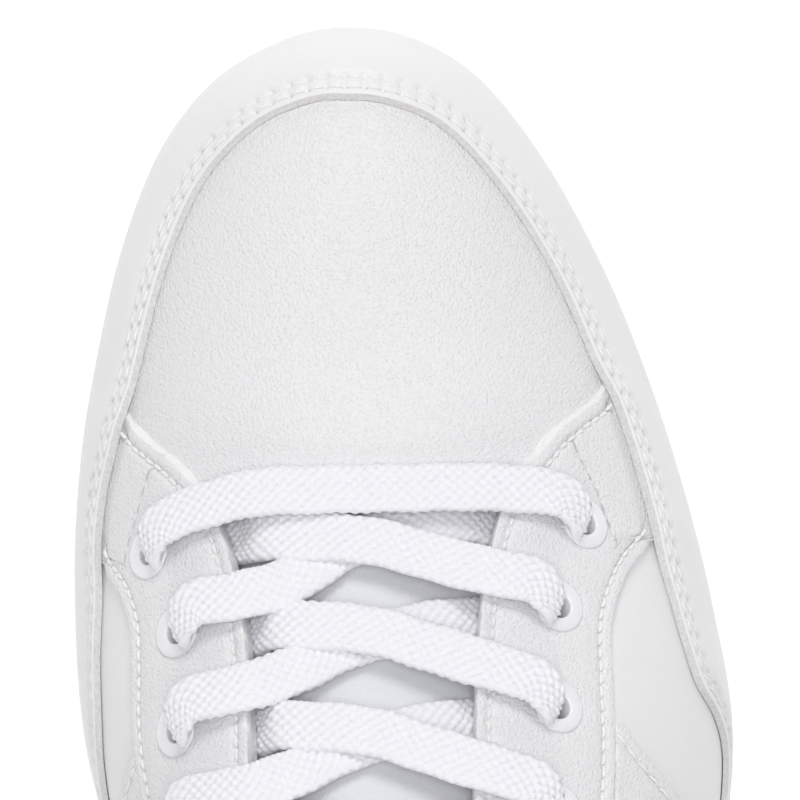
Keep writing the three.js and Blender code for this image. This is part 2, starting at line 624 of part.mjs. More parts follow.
// From inside one eyelet, out under the throat edge and across to the next eyelet of the other side,
// in a bow towards the toe.
function crossing(from, to) {
  const over = from.name === "medial";
  const middle = over ? -1.2 : -3.05;
  const bow = over ? LACE_BOW.over : LACE_BOW.under;
  const { height, centre, width } = over ? FIRST_HUMP.over : FIRST_HUMP.under;
  const hump = (u) => (from.index === 0 ? height * Math.exp(-(((u - centre) / width) ** 2)) : 0);
  const leave = (throatAt(from) - from.x) / (to.x - from.x);
  const land = (throatAt(to) - from.x) / (to.x - from.x);
  const plan = (u) => ({
    x: THREE.MathUtils.lerp(from.x, to.x, u),
    y: THREE.MathUtils.lerp(from.y, to.y, u) + bow * Math.sin(Math.PI * u) + hump(u),
  });
  const at = (u, offset) => {
    const { x, y } = plan(u);
    return overPlan(x, y, u < 0.5 ? SIDES[from.name] : SIDES[to.name], offset);
  };
  return [
    ...leaveInside(from, plan(0.2)), at(leave, LANE), at(leave + 0.1, over ? -2 : -3.6),
    at(0.5, middle), at(land - 0.1, over ? -0.6 : -1.8), at(land, 1.15), ...enter(to, plan(0.85)),
  ];
}

// The free end: down inside the quarter's wall, then back along the sockliner. A wall row is a change of
// station and of degrees, an offset and a pinch. A floor row is a plan point and its lift off the sockliner.
const TAIL_WALL = [[0.25, -10, -6, 0.1], [0.45, -19, -6.2, 0], [0.7, -29, -7.2, 0]];
const TAIL_FLOOR = {
  lateral: [[26, -42, 6], [22, -52, 0.6], [15, -66, 0], [10, -82, 0], [11.5, -96, 0]],
  medial: [[-21.5, -42, 6], [-17.5, -52, 0.6], [-11, -64, 0], [-7.5, -78, 0], [-9.5, -92, 0]],
};
const SOCKLINER_TOP = 6.3; // above the feather line
const TAIL_GAP = 0.4;

function tail(seat) {
  const side = SIDES[seat.name];
  const points = leaveInside(seat, { x: seat.x + side * 12, y: seat.y - 6 });
  for (const [ahead, down, offset, pinch] of TAIL_WALL) {
    points.push(routePoint(seat.station + side * ahead, seat.degrees + down, offset, pinch));
  }
  const flat = new THREE.Vector3(-side, 0, 0);
  for (const [x, y, lift] of TAIL_FLOOR[seat.name]) {
    const z = featherZ(y) + SOCKLINER_TOP + LACE.halfThick + TAIL_GAP + lift;
    points.push({ at: new THREE.Vector3(x, y, z), across: flat, pinch: 0 });
  }
  points.at(-1).pinch = 1;
  return points;
}

function laceHalf(name) {
  const other = name === "lateral" ? "medial" : "lateral";
  const route = [];
  let from = eyeletSeat(name, 0);
  for (let i = 1; i < PAIRS; i++) {
    const to = eyeletSeat(i % 2 ? other : name, i);
    route.push(...crossing(from, to));
    from = to;
  }
  return [...route, ...tail(from)];
}

function laceRoute() {
  const right = eyeletSeat("lateral", 0);
  const left = eyeletSeat("medial", 0);
  const overVamp = BAR.map(([x, y, offset]) => overPlan(x, y, x < BAR_MIDDLE ? -1 : 1, offset));
  const end = ([x, y]) => ({ x, y });
  const bar = [...enter(left, end(BAR[0])).reverse(), ...overVamp, ...enter(right, end(BAR.at(-1)))];
  return [...laceHalf("medial").reverse(), ...bar, ...laceHalf("lateral")];
}

const LACE_STEP = 8;
const LACE_SECTION = [[1, 0], [0.72, 1], [-0.72, 1], [-1, 0], [-0.72, -1], [0.72, -1]];

function addLace() {
  const route = laceRoute();
  const curve = new THREE.CatmullRomCurve3(route.map((r) => r.at), false, "centripetal");
  const spans = route.length - 1;
  const stops = [];
  for (let i = 0; i < spans; i++) {
    const count = Math.ceil(route[i].at.distanceTo(route[i + 1].at) / LACE_STEP);
    for (let k = 0; k < count; k++) stops.push(i + k / count);
  }
  stops.push(spans);
  const rings = stops.map((stop) => {
    const i = Math.min(spans - 1, Math.floor(stop));
    const t = stop - i;
    const tangent = curve.getTangent(stop / spans);
    const across = route[i].across.clone().lerp(route[i + 1].across, t);
    across.addScaledVector(tangent, -across.dot(tangent)).normalize();
    const face = across.clone().cross(tangent);
    const pinch = THREE.MathUtils.lerp(route[i].pinch, route[i + 1].pinch, t);
    const wide = THREE.MathUtils.lerp(LACE.halfWidth, LACE.pinchedWidth, pinch);
    const thick = THREE.MathUtils.lerp(LACE.halfThick, LACE.pinchedThick, pinch);
    const centre = curve.getPoint(stop / spans);
    const corner = ([a, b]) => centre.clone().addScaledVector(across, a * wide).addScaledVector(face, b * thick);
    return LACE_SECTION.map(corner);
  });
  const skin = new Skin();
  const sides = LACE_SECTION.length;
  for (let i = 0; i < rings.length - 1; i++) {
    for (let k = 0; k < sides; k++) {
      const n = (k + 1) % sides;
      skin.quad(rings[i][k], rings[i][n], rings[i + 1][n], rings[i + 1][k]);
    }
  }
  for (let k = 1; k < sides - 1; k++) {
    skin.triangle(rings[0][0], rings[0][k + 1], rings[0][k]);
    const end = rings.at(-1);
    skin.triangle(end[0], end[k], end[k + 1]);
  }
  add("lace", geometryOf(solidOf(skin.geometry())), TEXTILE);
  addAglet("aglet_medial", route[0].at, curve.getTangent(0).negate());
  addAglet("aglet_lateral", route.at(-1).at, curve.getTangent(1));
}

const AGLET = { length: 22, tip: 1.5, mouth: 1.7, lift: 0.85, gap: 0.3 };

function addAglet(name, from, direction) {
  const { length, tip, mouth, lift, gap } = AGLET;
  const made = geometryOf(solidOf(new THREE.CylinderGeometry(tip, mouth, length, 10)));
  const mesh = add(name, made, PLASTIC);
  direction.z = 0;
  direction.normalize();
  mesh.quaternion.setFromUnitVectors(UP_Y, direction);
  mesh.position.copy(from).addScaledVector(direction, length / 2 + gap);
  mesh.position.z += lift;
}

addSole();
addFront();
for (const name of Object.keys(SIDES)) addSide(name);
addHeel();
addTongue();
addEyelets();
addLace();

export default shoe;
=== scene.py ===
"""Looks of a right-foot cheer shoe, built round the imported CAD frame.

Lengths in the shape code are millimetres on the same reference surface as the CAD part: a station runs
round the rim (0 at the toe, +16 lateral and -16 medial to the heel), an angle in degrees climbs the wall,
and an offset follows the normal. Meshes are turned into metres when they are made.
"""

import math

import bmesh
import bpy
import numpy as np
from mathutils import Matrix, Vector
from mathutils.kdtree import KDTree


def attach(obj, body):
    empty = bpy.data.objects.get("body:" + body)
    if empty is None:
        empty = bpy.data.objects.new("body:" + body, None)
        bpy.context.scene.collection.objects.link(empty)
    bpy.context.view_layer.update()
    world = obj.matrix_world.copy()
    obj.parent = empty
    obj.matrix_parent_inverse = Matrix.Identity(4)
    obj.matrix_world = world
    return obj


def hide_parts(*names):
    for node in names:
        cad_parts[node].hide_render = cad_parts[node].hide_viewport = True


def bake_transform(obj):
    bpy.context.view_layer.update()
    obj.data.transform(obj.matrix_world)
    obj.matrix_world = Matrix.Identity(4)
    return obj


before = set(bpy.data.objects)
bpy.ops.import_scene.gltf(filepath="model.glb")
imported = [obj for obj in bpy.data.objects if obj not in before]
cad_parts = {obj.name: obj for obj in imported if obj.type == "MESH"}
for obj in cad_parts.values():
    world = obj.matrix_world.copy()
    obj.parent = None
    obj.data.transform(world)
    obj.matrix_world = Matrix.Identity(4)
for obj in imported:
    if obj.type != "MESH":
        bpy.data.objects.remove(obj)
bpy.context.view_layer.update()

MM = 0.001
RNG = np.random.default_rng(7)

# ---------- driving dimensions, as in the CAD part ----------
TOE_SPRING, HEEL_SPRING = 9.0, 2.0
SPRING_START, HEEL_START = 70.0, -115.0
FOREFOOT_SOLE, HEEL_SOLE = 11.5, 20.0
RUBBER = 4.0
FEATHER_RISE = 2.5
COLLAR_DEPTH = 24.0
LACE_WIDTH, LACE_THICK = 7.4, 1.3

LATERAL = [
    (-9, 136), (1.1, 134.5), (11.3, 128.4), (21.1, 116.2), (29.6, 101), (36, 86), (42, 68),
    (46.7, 49.4), (50.05, 28), (47.5, 4), (42, -22), (37.5, -50), (34.5, -78), (31, -102),
    (22.5, -122), (11, -133), (-1, -136.17),
]
MEDIAL = [
    (-9, 136), (-18, 134.2), (-28.3, 128.4), (-36.5, 118.3), (-42.4, 104), (-46.3, 88), (-49.2, 70),
    (-50, 50), (-48.4, 28), (-42.5, 4), (-36.8, -22), (-34.3, -50), (-33.5, -78), (-31, -102),
    (-23, -122), (-12.5, -133), (-1, -136.17),
]
RIDGE = [
    (-8, 101, 46), (-8, 100.4, 46), (-7.9, 99.3, 46), (-7.7, 97, 46), (-7.3, 93, 46.3),
    (-7, 84.5, 47.6), (-6.6, 70, 52), (-6.2, 50, 60), (-6, 28, 69), (-5.5, 4, 79.5), (-4.5, -22, 91),
    (-3, -48, 104), (-2, -72, 114), (-1.5, -88, 120), (-1, -94, 122), (-1, -96, 122), (-1, -97, 122),
]
MUDGUARD_TOP = {
    1: [
        (0, 45.3), (1, 44.3), (2, 41.3), (3, 37.6), (4, 34.2), (5, 32), (5.4, 30.1), (6, 29),
        (6.5, 28.4), (7, 26), (7.3, 24.4), (7.6, 21.4), (7.82, 14.2), (8.1, 7.5), (8.5, 5.5), (9, 5),
    ],
    -1: [
        (0, 45.3), (1.5, 42.5), (2.4, 40.3), (3.4, 36.7), (4.5, 33.6), (5.35, 31.2), (5.9, 28),
        (6.25, 25.3), (7, 22.7), (7.4, 20.6), (7.85, 18.2), (8.2, 13.5), (8.5, 8), (9, 5.5),
    ],
}
THROAT = {
    1: [
        (5.28, 33.5), (5.36, 36.6), (5.46, 42.4), (5.63, 50), (5.85, 56.1), (6.0, 60.5), (6.2, 64),
        (6.57, 67.8), (6.96, 70.3), (7.64, 72.4), (8.4, 73), (9.2, 72), (9.6, 69), (9.82, 63),
    ],
    -1: [
        (5.62, 32), (5.68, 34.5), (5.81, 40.5), (5.94, 47.3), (6.1, 53), (6.3, 58.5), (6.63, 63),
        (6.95, 65.3), (7.31, 66.8), (8, 66.6), (8.6, 65), (9.2, 63), (9.6, 61), (9.82, 56.5),
    ],
}
EYESTAY_OUTER = {
    1: [
        (6.47, 29.7), (6.56, 32.5), (6.66, 37), (6.78, 40.7), (6.96, 44), (7.16, 46.4), (7.66, 48.2),
        (8.3, 48.9), (9, 50), (9.82, 51.5),
    ],
    -1: [
        (6.7, 24.9), (6.79, 26.9), (6.87, 30.4), (6.95, 33.6), (7.06, 35.8), (7.2, 37.4), (7.5, 37.6),
        (7.88, 36.6), (8.3, 36.6), (9, 38.5), (9.82, 41),
    ],
}
REAR_DIAGONAL = {
    1: [
        (7.82, 46.6), (8.0, 42.5), (8.3, 33), (8.7, 19), (9.05, 6.4),
    ],
    -1: [
        (8.05, 34.6), (8.3, 27), (8.6, 17.5), (9.05, 7),
    ],
}
COLLAR_HEIGHT = [
    (9.82, 78.5), (10.3, 74.5), (10.8, 69.3), (11.4, 65), (12.1, 62.5), (12.9, 63.5), (13.8, 68),
    (14.8, 74.5), (15.5, 77), (16, 77.5),
]
EYELETS = {
    1: [(26.7, 61.5), (22.7, 49.4), (22.5, 34.8), (22.2, 20), (21.5, 5.5), (20.5, -9)],
    -1: [(-37.8, 57.1), (-33.4, 45.6), (-33.4, 31.2), (-33, 16.5), (-31.5, 2.5), (-29.5, -12)],
}
SIDE_NAME = {1: "lateral", -1: "medial"}
HOLE_RADIUS, DRILL_LENGTH = 2.55, 14
LAST = len(RIDGE) - 1
VAMP_BACK, QUARTER_FRONT, MUDGUARD_BACK = 6.2, 6.26, 9.0
LINING_BACK, REAR_BACK, EYESTAY_END = 10.6, 13.4, 9.82

# Offsets of the visible faces from the reference surface.
BASE_FACE, BASE_THICK = -1.25, 1.1
OVERLAY_THICK = 1.2
LINING_FACE, LINING_THICK = -2.4, 1.2
PANEL_FOOT, RIDGE_TOP = 4.0, 90.0  # degrees: where the vamp and the quarters end
EDGE_ROUND = 0.45
SEAM_BAND = 1.7  # the strip between an overlay's edge and its seam stays flat
FLAT_THREAD = -0.12  # height of an overlay's thread
HEEL_DROP, TAB_DROP, TAB_BACK = 22, 21.4, 14.2
TONGUE_START, TONGUE_END = 5.9, 10.85

# ---------- the reference surface ----------
RIM_POINTS = np.array(LATERAL + MEDIAL[1:-1][::-1], float)
RIDGE_POINTS = np.array(RIDGE, float)


def smooth(t):
    t = np.clip(t, 0, 1)
    return t * t * (3 - 2 * t)


def catmull_rom(points, i, t, fold):
    p0, p1, p2, p3 = (points[fold(i + k)] for k in (-1, 0, 1, 2))
    t = t[..., None]
    square, cube = 2 * p0 - 5 * p1 + 4 * p2 - p3, 3 * p1 - p0 - 3 * p2 + p3
    return 0.5 * (2 * p1 + (p2 - p0) * t + square * t**2 + cube * t**3)


def rim(s):
    n = len(RIM_POINTS)
    s = np.mod(np.asarray(s, float), n)
    i = np.floor(s).astype(int)
    return catmull_rom(RIM_POINTS, i, s - i, lambda j: np.mod(j, n))


def folded(s):
    return LAST - np.abs(LAST - np.abs(s))


def ridge(s):
    s = folded(np.asarray(s, float))
    i = np.minimum(LAST - 1, np.floor(s).astype(int))
    return catmull_rom(RIDGE_POINTS, i, s - i, folded)


def spring_z(y):
    toe = TOE_SPRING * (np.maximum(y - SPRING_START, 0) / (136 - SPRING_START)) ** 2
    heel = HEEL_SPRING * (np.maximum(HEEL_START - y, 0) / (136 + HEEL_START)) ** 2
    return toe + heel


def feather_z(y):
    return spring_z(y) + FOREFOOT_SOLE + (HEEL_SOLE - FOREFOOT_SOLE) * smooth((40 - y) / 130)


def surface(s, d):
    s, d = np.broadcast_arrays(np.asarray(s, float), np.asarray(d, float))
    p, q = rim(s), ridge(s)
    a = np.radians(d)
    z0 = feather_z(p[..., 1]) + FEATHER_RISE
    inward = (1 - np.cos(a))[..., None]
    reach = q[..., :2] - p
    plan_up = p + reach * inward
    plan_down = p + reach / np.linalg.norm(reach, axis=-1, keepdims=True) * inward
    up = d >= 0
    plan = np.where(up[..., None], plan_up, plan_down)
    z = np.where(up, z0 + (q[..., 2] - z0) * np.sin(a), z0 + FEATHER_RISE * np.sin(a))
    return np.concatenate([plan, z[..., None]], axis=-1)


def unit(v):
    return v / np.maximum(np.linalg.norm(v, axis=-1, keepdims=True), 1e-12)


def rimward(s, d):
    return unit(surface(s + 0.01, d) - surface(s - 0.01, d))


def side_normal(s, d):
    return unit(np.cross(surface(s, d + 0.2) - surface(s, d - 0.2), rimward(s, d)))


def normal(s, d):
    s, d = np.broadcast_arrays(np.asarray(s, float), np.asarray(d, float))
    low = np.minimum(d, 89.5)
    here = side_normal(s, low)
    both = unit(here + side_normal(-s, low))
    share = smooth((d - 78) / 11.5)[..., None]  # near the ridge the two sides share one normal
    return unit(here * (1 - share) + both * share)


def layer(s, d, h):
    return surface(s, d) + normal(s, d) * np.asarray(h)[..., None]


def height_angle(s, z):
    z0 = feather_z(rim(s)[..., 1]) + FEATHER_RISE
    return np.degrees(np.arcsin(np.clip((z - z0) / (ridge(s)[..., 2] - z0), 0, 1)))


def below(x, y, side):
    """Station and angle of the surface points above plan points on one side, by Newton's method."""
    x, y = np.broadcast_arrays(np.asarray(x, float), np.asarray(y, float))
    s, d = np.full(x.shape, side * 8.0), np.full(x.shape, 45.0)
    for _ in range(60):
        p = surface(s, d)
        ds, dd = (surface(s + 0.001, d) - p) / 0.001, (surface(s, d + 0.001) - p) / 0.001
        det = ds[..., 0] * dd[..., 1] - dd[..., 0] * ds[..., 1]
        ex, ey = x - p[..., 0], y - p[..., 1]
        s = s + np.clip((ex * dd[..., 1] - ey * dd[..., 0]) / det, -0.5, 0.5)
        d = np.clip(d + np.clip((ey * ds[..., 0] - ex * ds[..., 1]) / det, -8, 8), 1, 89)
    return s, d


def along(edge, s):
    """Value of a [station, value] edge at a station, by a smooth curve through its points."""
    k, v = np.array(edge, float).T
    s = np.clip(np.abs(s), k[0], k[-1])
    slope = np.empty(len(k))
    slope[1:-1] = (v[2:] - v[:-2]) / (k[2:] - k[:-2])
    slope[0], slope[-1] = (v[1] - v[0]) / (k[1] - k[0]), (v[-1] - v[-2]) / (k[-1] - k[-2])
    i = np.clip(np.searchsorted(k, s, side="left") - 1, 0, len(k) - 2)
    h = k[i + 1] - k[i]
    t = (s - k[i]) / h
    rise, m0, m1 = v[i + 1] - v[i], slope[i] * h, slope[i + 1] * h
    return v[i] + m0 * t + (3 * rise - 2 * m0 - m1) * t**2 + (m0 + m1 - 2 * rise) * t**3


def collar_height(s):
    return along(COLLAR_HEIGHT, folded(s))


def collar_angle(s, drop):
    return height_angle(s, collar_height(s) - drop)


# ---------- curves on the surface ----------
def lengths(points):
    return np.concatenate([[0], np.cumsum(np.linalg.norm(np.diff(points, axis=0), axis=1))])


def resample(sd, step):
    """A polyline of (station, degrees) resampled to an even step in millimetres on the surface."""
    run = lengths(surface(sd[:, 0], sd[:, 1]))
    count = max(2, int(round(run[-1] / step)) + 1)
    to = np.linspace(0, run[-1], count)
    return np.stack([np.interp(to, run, sd[:, 0]), np.interp(to, run, sd[:, 1])], axis=1)


def inset_path(sd, distance, side=1):
    """The polyline moved sideways on the surface, to the left of its direction if side is 1."""
    sd = resample(sd, 0.5)
    s, d = sd[:, 0], sd[:, 1]
    p = surface(s, d)
    tangent = unit(np.gradient(p, axis=0))
    across = unit(np.cross(normal(s, d), tangent)) * distance * side
    js, jd = (surface(s + 0.01, d) - p) / 0.01, (surface(s, d + 0.01) - p) / 0.01
    a, b, c = (js * js).sum(1), (js * jd).sum(1), (jd * jd).sum(1)
    u, v = (js * across).sum(1), (jd * across).sum(1)
    det = a * c - b * b
    moved = np.stack([s + (c * u - b * v) / det, d + (a * v - b * u) / det], axis=1)
    near = nearest(p)(surface(moved[:, 0], moved[:, 1]))
    return moved[(near > distance * 0.96) & (near < distance * 1.3)]


def nearest(points):
    """A function that gives each point's distance to the nearest of these points."""
    tree = KDTree(len(points))
    for i, p in enumerate(points):
        tree.insert(p, i)
    tree.balance()

    def query(at):
        flat = at.reshape(-1, 3)
        found = np.array([tree.find(p)[2] for p in flat])
        return found.reshape(at.shape[:-1])

    return query


def distance_to(sd):
    """A function that gives each point's distance to a polyline of (station, degrees)."""
    return nearest(surface(sd[:, 0], sd[:, 1]))


def between(a, b, step):
    """Stations from a to b, evenly spaced along the rim by about this many millimetres."""
    dense = np.linspace(a, b, 400)
    run = lengths(rim(dense))
    count = max(2, int(round(run[-1] / step)) + 1)
    return np.interp(np.linspace(0, run[-1], count), run, dense)


def fine_ends(a, b, step):
    """Stations from a to b as in between, with close ones at both ends."""
    fine, middle = np.array([0, 0.008, 0.018, 0.03]), between(a, b, step)
    return np.concatenate([a + fine, middle[(middle > a + 0.05) & (middle < b - 0.05)], b - fine[::-1]])


def on_side(stations, side):
    """Unsigned stations put on one side, in rising order."""
    return stations * side if side > 0 else (stations * side)[::-1]


def level(value):
    return lambda s, d=None: np.full_like(s, value)


def ladder(height, start, end, step):
    """Row places from 0 to 1 for each column height: fixed millimetres at both ends, even in the middle."""
    start, end = np.array(start, float), np.array(end, float)
    middle = max(1, int(np.ceil((height.max() - start[-1] - end[-1]) / step)))
    room = np.maximum(height, 1e-6)
    squeeze = np.minimum(1, 0.9 * room / (start[-1] + end[-1] + 1e-9))
    low = start[:, None] * squeeze / room
    high = 1 - end[::-1, None] * squeeze / room
    t = np.arange(1, middle)[:, None] / middle
    return np.concatenate([low, low[-1] + (high[0] - low[-1]) * t, high], axis=0)


# ---------- meshes ----------
def make_object(name, verts, faces, materials, indices=None, body="shoe"):
    mesh = bpy.data.meshes.new(name)
    mesh.from_pydata([tuple(v) for v in (np.asarray(verts) * MM).tolist()], [], faces)
    for m in materials:
        mesh.materials.append(m)
    if indices is not None:
        mesh.polygons.foreach_set("material_index", np.asarray(indices, np.int32))
    mesh.polygons.foreach_set("use_smooth", np.full(len(mesh.polygons), True))
    mesh.update()
    obj = bpy.data.objects.new(name, mesh)
    bpy.context.scene.collection.objects.link(obj)
    if body:
        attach(obj, body)
    return obj


def grid_faces(rows, columns, start=0, flip=False):
    r, c = np.meshgrid(np.arange(rows - 1), np.arange(columns - 1), indexing="ij")
    a = start + r * columns + c
    quad = np.stack([a, a + columns, a + columns + 1, a + 1], axis=-1).reshape(-1, 4)
    return quad[:, ::-1] if flip else quad


def tube_faces(rings, n, start=0, closed=False):
    """Quads between rings of n points. The tube's ends meet if it is closed, else each gets a cap."""
    idx = start + np.arange(rings * n).reshape(rings, n)
    if closed:
        idx = np.concatenate([idx, idx[:1]])
    after = np.roll(idx, -1, axis=1)
    quads = np.stack([idx[:-1], after[:-1], after[1:], idx[1:]], axis=-1).reshape(-1, 4).tolist()
    return quads if closed else quads + [idx[0].tolist()[::-1], idx[-1].tolist()]


def settle(obj, sharp=None, weld=None):
    """Joins points closer than weld, turns the faces outwards, and marks edges sharper than an angle."""
    bm = bmesh.new()
    bm.from_mesh(obj.data)
    if weld:
        bmesh.ops.remove_doubles(bm, verts=bm.verts, dist=weld)
    bmesh.ops.recalc_face_normals(bm, faces=bm.faces)
    if sharp:
        for e in bm.edges:
            if len(e.link_faces) == 2 and e.calc_face_angle(0) > math.radians(sharp):
                e.smooth = False
    bm.to_mesh(obj.data)
    bm.free()


def shell(name, outer, inner, materials, weld=False, body="shoe"):
    """A closed sheet from two grids of points. Materials are the face's, the back's and the cut edge's."""
    rows, columns = outer.shape[:2]
    n = rows * columns
    verts = np.concatenate([outer.reshape(-1, 3), inner.reshape(-1, 3)])
    face, back = grid_faces(rows, columns), grid_faces(rows, columns, n, flip=True)
    idx = np.arange(n).reshape(rows, columns)
    loop = [idx[0, ::-1], idx[:, 0], idx[-1], idx[::-1, -1]]
    if weld:  # the sheet's top row is the ridge, where it meets itself
        loop = [idx[:, 0], idx[0, ::-1], idx[::-1, -1]]
    wall = np.concatenate([np.stack([a[:-1], a[:-1] + n, a[1:] + n, a[1:]], axis=-1) for a in loop])
    faces = np.concatenate([face, back, wall])
    indices = np.concatenate([np.zeros(len(face)), np.ones(len(back)), np.full(len(wall), 2)])
    indices = np.minimum(indices, len(materials) - 1)
    obj = make_object(name, verts, faces.tolist(), materials, indices, body)
    settle(obj, 50, 2e-6 if weld else None)
    return obj


# ---------- procedural materials ----------
class Nodes:
    """Short names for building a node tree."""

    def __init__(self, name):
        self.material = bpy.data.materials.new(name)
        self.material.use_nodes = True
        self.tree = self.material.node_tree
        self.shader = self.tree.nodes["Principled BSDF"]
        self.place = self.add("ShaderNodeTexCoord").outputs["Object"]

    def add(self, kind, **settings):
        node = self.tree.nodes.new(kind)
        for key, value in settings.items():
            if key in node.inputs:
                node.inputs[key].default_value = value
            else:
                setattr(node, key, value)
        return node

    def link(self, a, b):
        self.tree.links.new(a, b)

    def noise(self, scale, detail=2.0, roughness=0.5, place=None):
        node = self.add("ShaderNodeTexNoise", Scale=scale, Detail=detail, Roughness=roughness)
        self.link(place or self.place, node.inputs["Vector"])
        return node.outputs["Fac"]

    def cells(self, scale, feature="F1", place=None, randomness=1.0):
        node = self.add("ShaderNodeTexVoronoi", Scale=scale, feature=feature, Randomness=randomness)
        self.link(place or self.place, node.inputs["Vector"])
        return node.outputs["Distance"]

    def ramp(self, value, stops):
        node = self.add("ShaderNodeValToRGB")
        self.link(value, node.inputs["Fac"])
        while len(node.color_ramp.elements) < len(stops):
            node.color_ramp.elements.new(0.5)
        for element, (at, colour) in zip(node.color_ramp.elements, stops):
            element.position = at
            element.color = (*colour, 1) if isinstance(colour, tuple) else (colour, colour, colour, 1)
        return node.outputs["Color"]

    def colour(self, value, stops):
        self.link(self.ramp(value, stops), self.shader.inputs["Base Color"])

    def math(self, operation, *values):
        node = self.add("ShaderNodeMath", operation=operation)
        for i, value in enumerate(values):
            if isinstance(value, (int, float)):
                node.inputs[i].default_value = value
            else:
                self.link(value, node.inputs[i])
        return node.outputs[0]

    def bump(self, *layers):
        """Stacks bumps, each (height, strength, distance in metres)."""
        last = None
        for height, strength, distance in layers:
            node = self.add("ShaderNodeBump", Strength=strength, Distance=distance)
            self.link(height, node.inputs["Height"])
            if last:
                self.link(last, node.inputs["Normal"])
            last = node.outputs["Normal"]
        self.link(last, self.shader.inputs["Normal"])

    def set(self, **values):
        for key, value in values.items():
            self.shader.inputs[key.replace("_", " ")].default_value = value


def dim(tone, share):
    return tuple(t * share for t in tone)


def leather(name, grain, depth, roughness, tone):
    """White coated leather: pebbles between fine creases, with a faint drift in tone."""
    m = Nodes(name)
    warp = m.noise(220, 2)
    pebbles = m.math("SUBTRACT", 1.0, m.cells(1 / grain, "SMOOTH_F1"))
    crease = m.ramp(m.cells(0.62 / grain, "DISTANCE_TO_EDGE"), [(0.0, 0.0), (0.16, 1.0)])
    pores = m.noise(2.4 / grain, 3, 0.6)
    m.colour(m.noise(26, 3), [(0.35, dim(tone, 0.975)), (0.65, tone)])
    m.link(m.math("MULTIPLY_ADD", warp, 0.14, roughness - 0.07), m.shader.inputs["Roughness"])
    m.bump((m.noise(90, 2), 0.08, 0.0004), (pores, 0.2 * depth, 0.00004), (pebbles, 1.0 * depth, 0.00022),
           (crease, 0.4 * depth, 0.00005))
    m.set(Specular_IOR_Level=0.42)
    return m.material


def fibrous(name, low, high, noise, strength, depth, **shader):
    """One fine noise that drives both the tone and the bump."""
    m = Nodes(name)
    fibres = m.noise(*noise)
    m.colour(fibres, [(0.3, low), (0.7, high)])
    m.bump((fibres, strength, depth))
    m.set(**shader)
    return m.material


def cut_edge(name, low, high):
    """The raw edge of split leather: pale fibres."""
    return fibrous(name, low, high, (1800, 4, 0.7), 0.7, 0.0002, Roughness=0.95, Specular_IOR_Level=0.2)


def thread(name, low, high):
    return fibrous(name, low, high, (3800, 2), 0.4, 0.00008, Roughness=0.6, Sheen_Weight=0.2)


def gloss(name, tone, roughness):
    return fibrous(name, dim(tone, 0.97), tone, (300, 2), 0.15, 0.00008, Roughness=roughness,
                   Coat_Weight=0.4, Coat_Roughness=0.15)


def board(name, tone):
    return fibrous(name, dim(tone, 0.8), tone, (900, 4, 0.7), 0.5, 0.0002, Roughness=0.9)


def braid():
    """Polyester lace: bundles of fine filaments over the braid that the mesh itself carries."""
    m = Nodes("lace_braid")
    uv = m.add("ShaderNodeTexCoord").outputs["UV"]
    filaments = m.add("ShaderNodeTexWave", Scale=5.5, Distortion=1.2, bands_direction="DIAGONAL")
    m.link(uv, filaments.inputs["Vector"])
    fuzz = m.noise(3000, 3)
    height = m.add("ShaderNodeAttribute", attribute_name="strand_height").outputs["Fac"]
    # Painted shade: the braid's valleys are coloured darker and bluer than its crests, by the strand height.
    m.colour(height, [(0.05, (0.82, 0.84, 0.89)), (0.5, (0.94, 0.932, 0.962))])
    m.bump((filaments.outputs["Fac"], 0.35, 0.00008), (fuzz, 0.35, 0.00006))
    m.set(Roughness=0.82, Sheen_Weight=0.35, Sheen_Roughness=0.5, Specular_IOR_Level=0.25)
    return m.material


def textile(name, tone, pitch):
    """Knitted lining: a fine lattice of loops on a soft ground."""
    m = Nodes(name)
    loops = m.cells(1 / pitch, "F1", randomness=0.25)
    fuzz = m.noise(2200, 3)
    m.colour(loops, [(0.1, tone), (0.6, dim(tone, 0.86))])
    m.bump((loops, 0.6, 0.00025), (fuzz, 0.3, 0.0001))
    m.set(Roughness=0.95, Sheen_Weight=0.25, Specular_IOR_Level=0.15)
    return m.material


def rubber(name, tone, roughness):
    m = Nodes(name)
    m.colour(m.noise(30, 2), [(0.35, dim(tone, 0.96)), (0.65, tone)])
    m.bump((m.noise(60, 2), 0.1, 0.0005), (m.noise(1500, 3), 0.25, 0.00008))
    m.set(Roughness=roughness, Specular_IOR_Level=0.4)
    return m.material


GRAINED = leather("grained_leather", 0.00042, 1.0, 0.5, (0.825, 0.822, 0.826))
SMOOTH = leather("smooth_leather", 0.0004, 0.25, 0.42, (0.848, 0.845, 0.847))
# Painted shade: the tongue's leather is darker and bluer than the rest, standing in for the shade the laces
# and eyestays cast on it.
SHADED_TONGUE_LEATHER = leather("tongue_leather_painted_shade", 0.0004, 0.35, 0.45, (0.755, 0.762, 0.788))
EDGE = cut_edge("cut_edge", (0.84, 0.84, 0.84), (0.92, 0.92, 0.92))
RAW_EDGE = cut_edge("raw_edge", (0.60, 0.58, 0.57), (0.78, 0.76, 0.75))
THREAD = thread("thread", 0.80, 0.92)
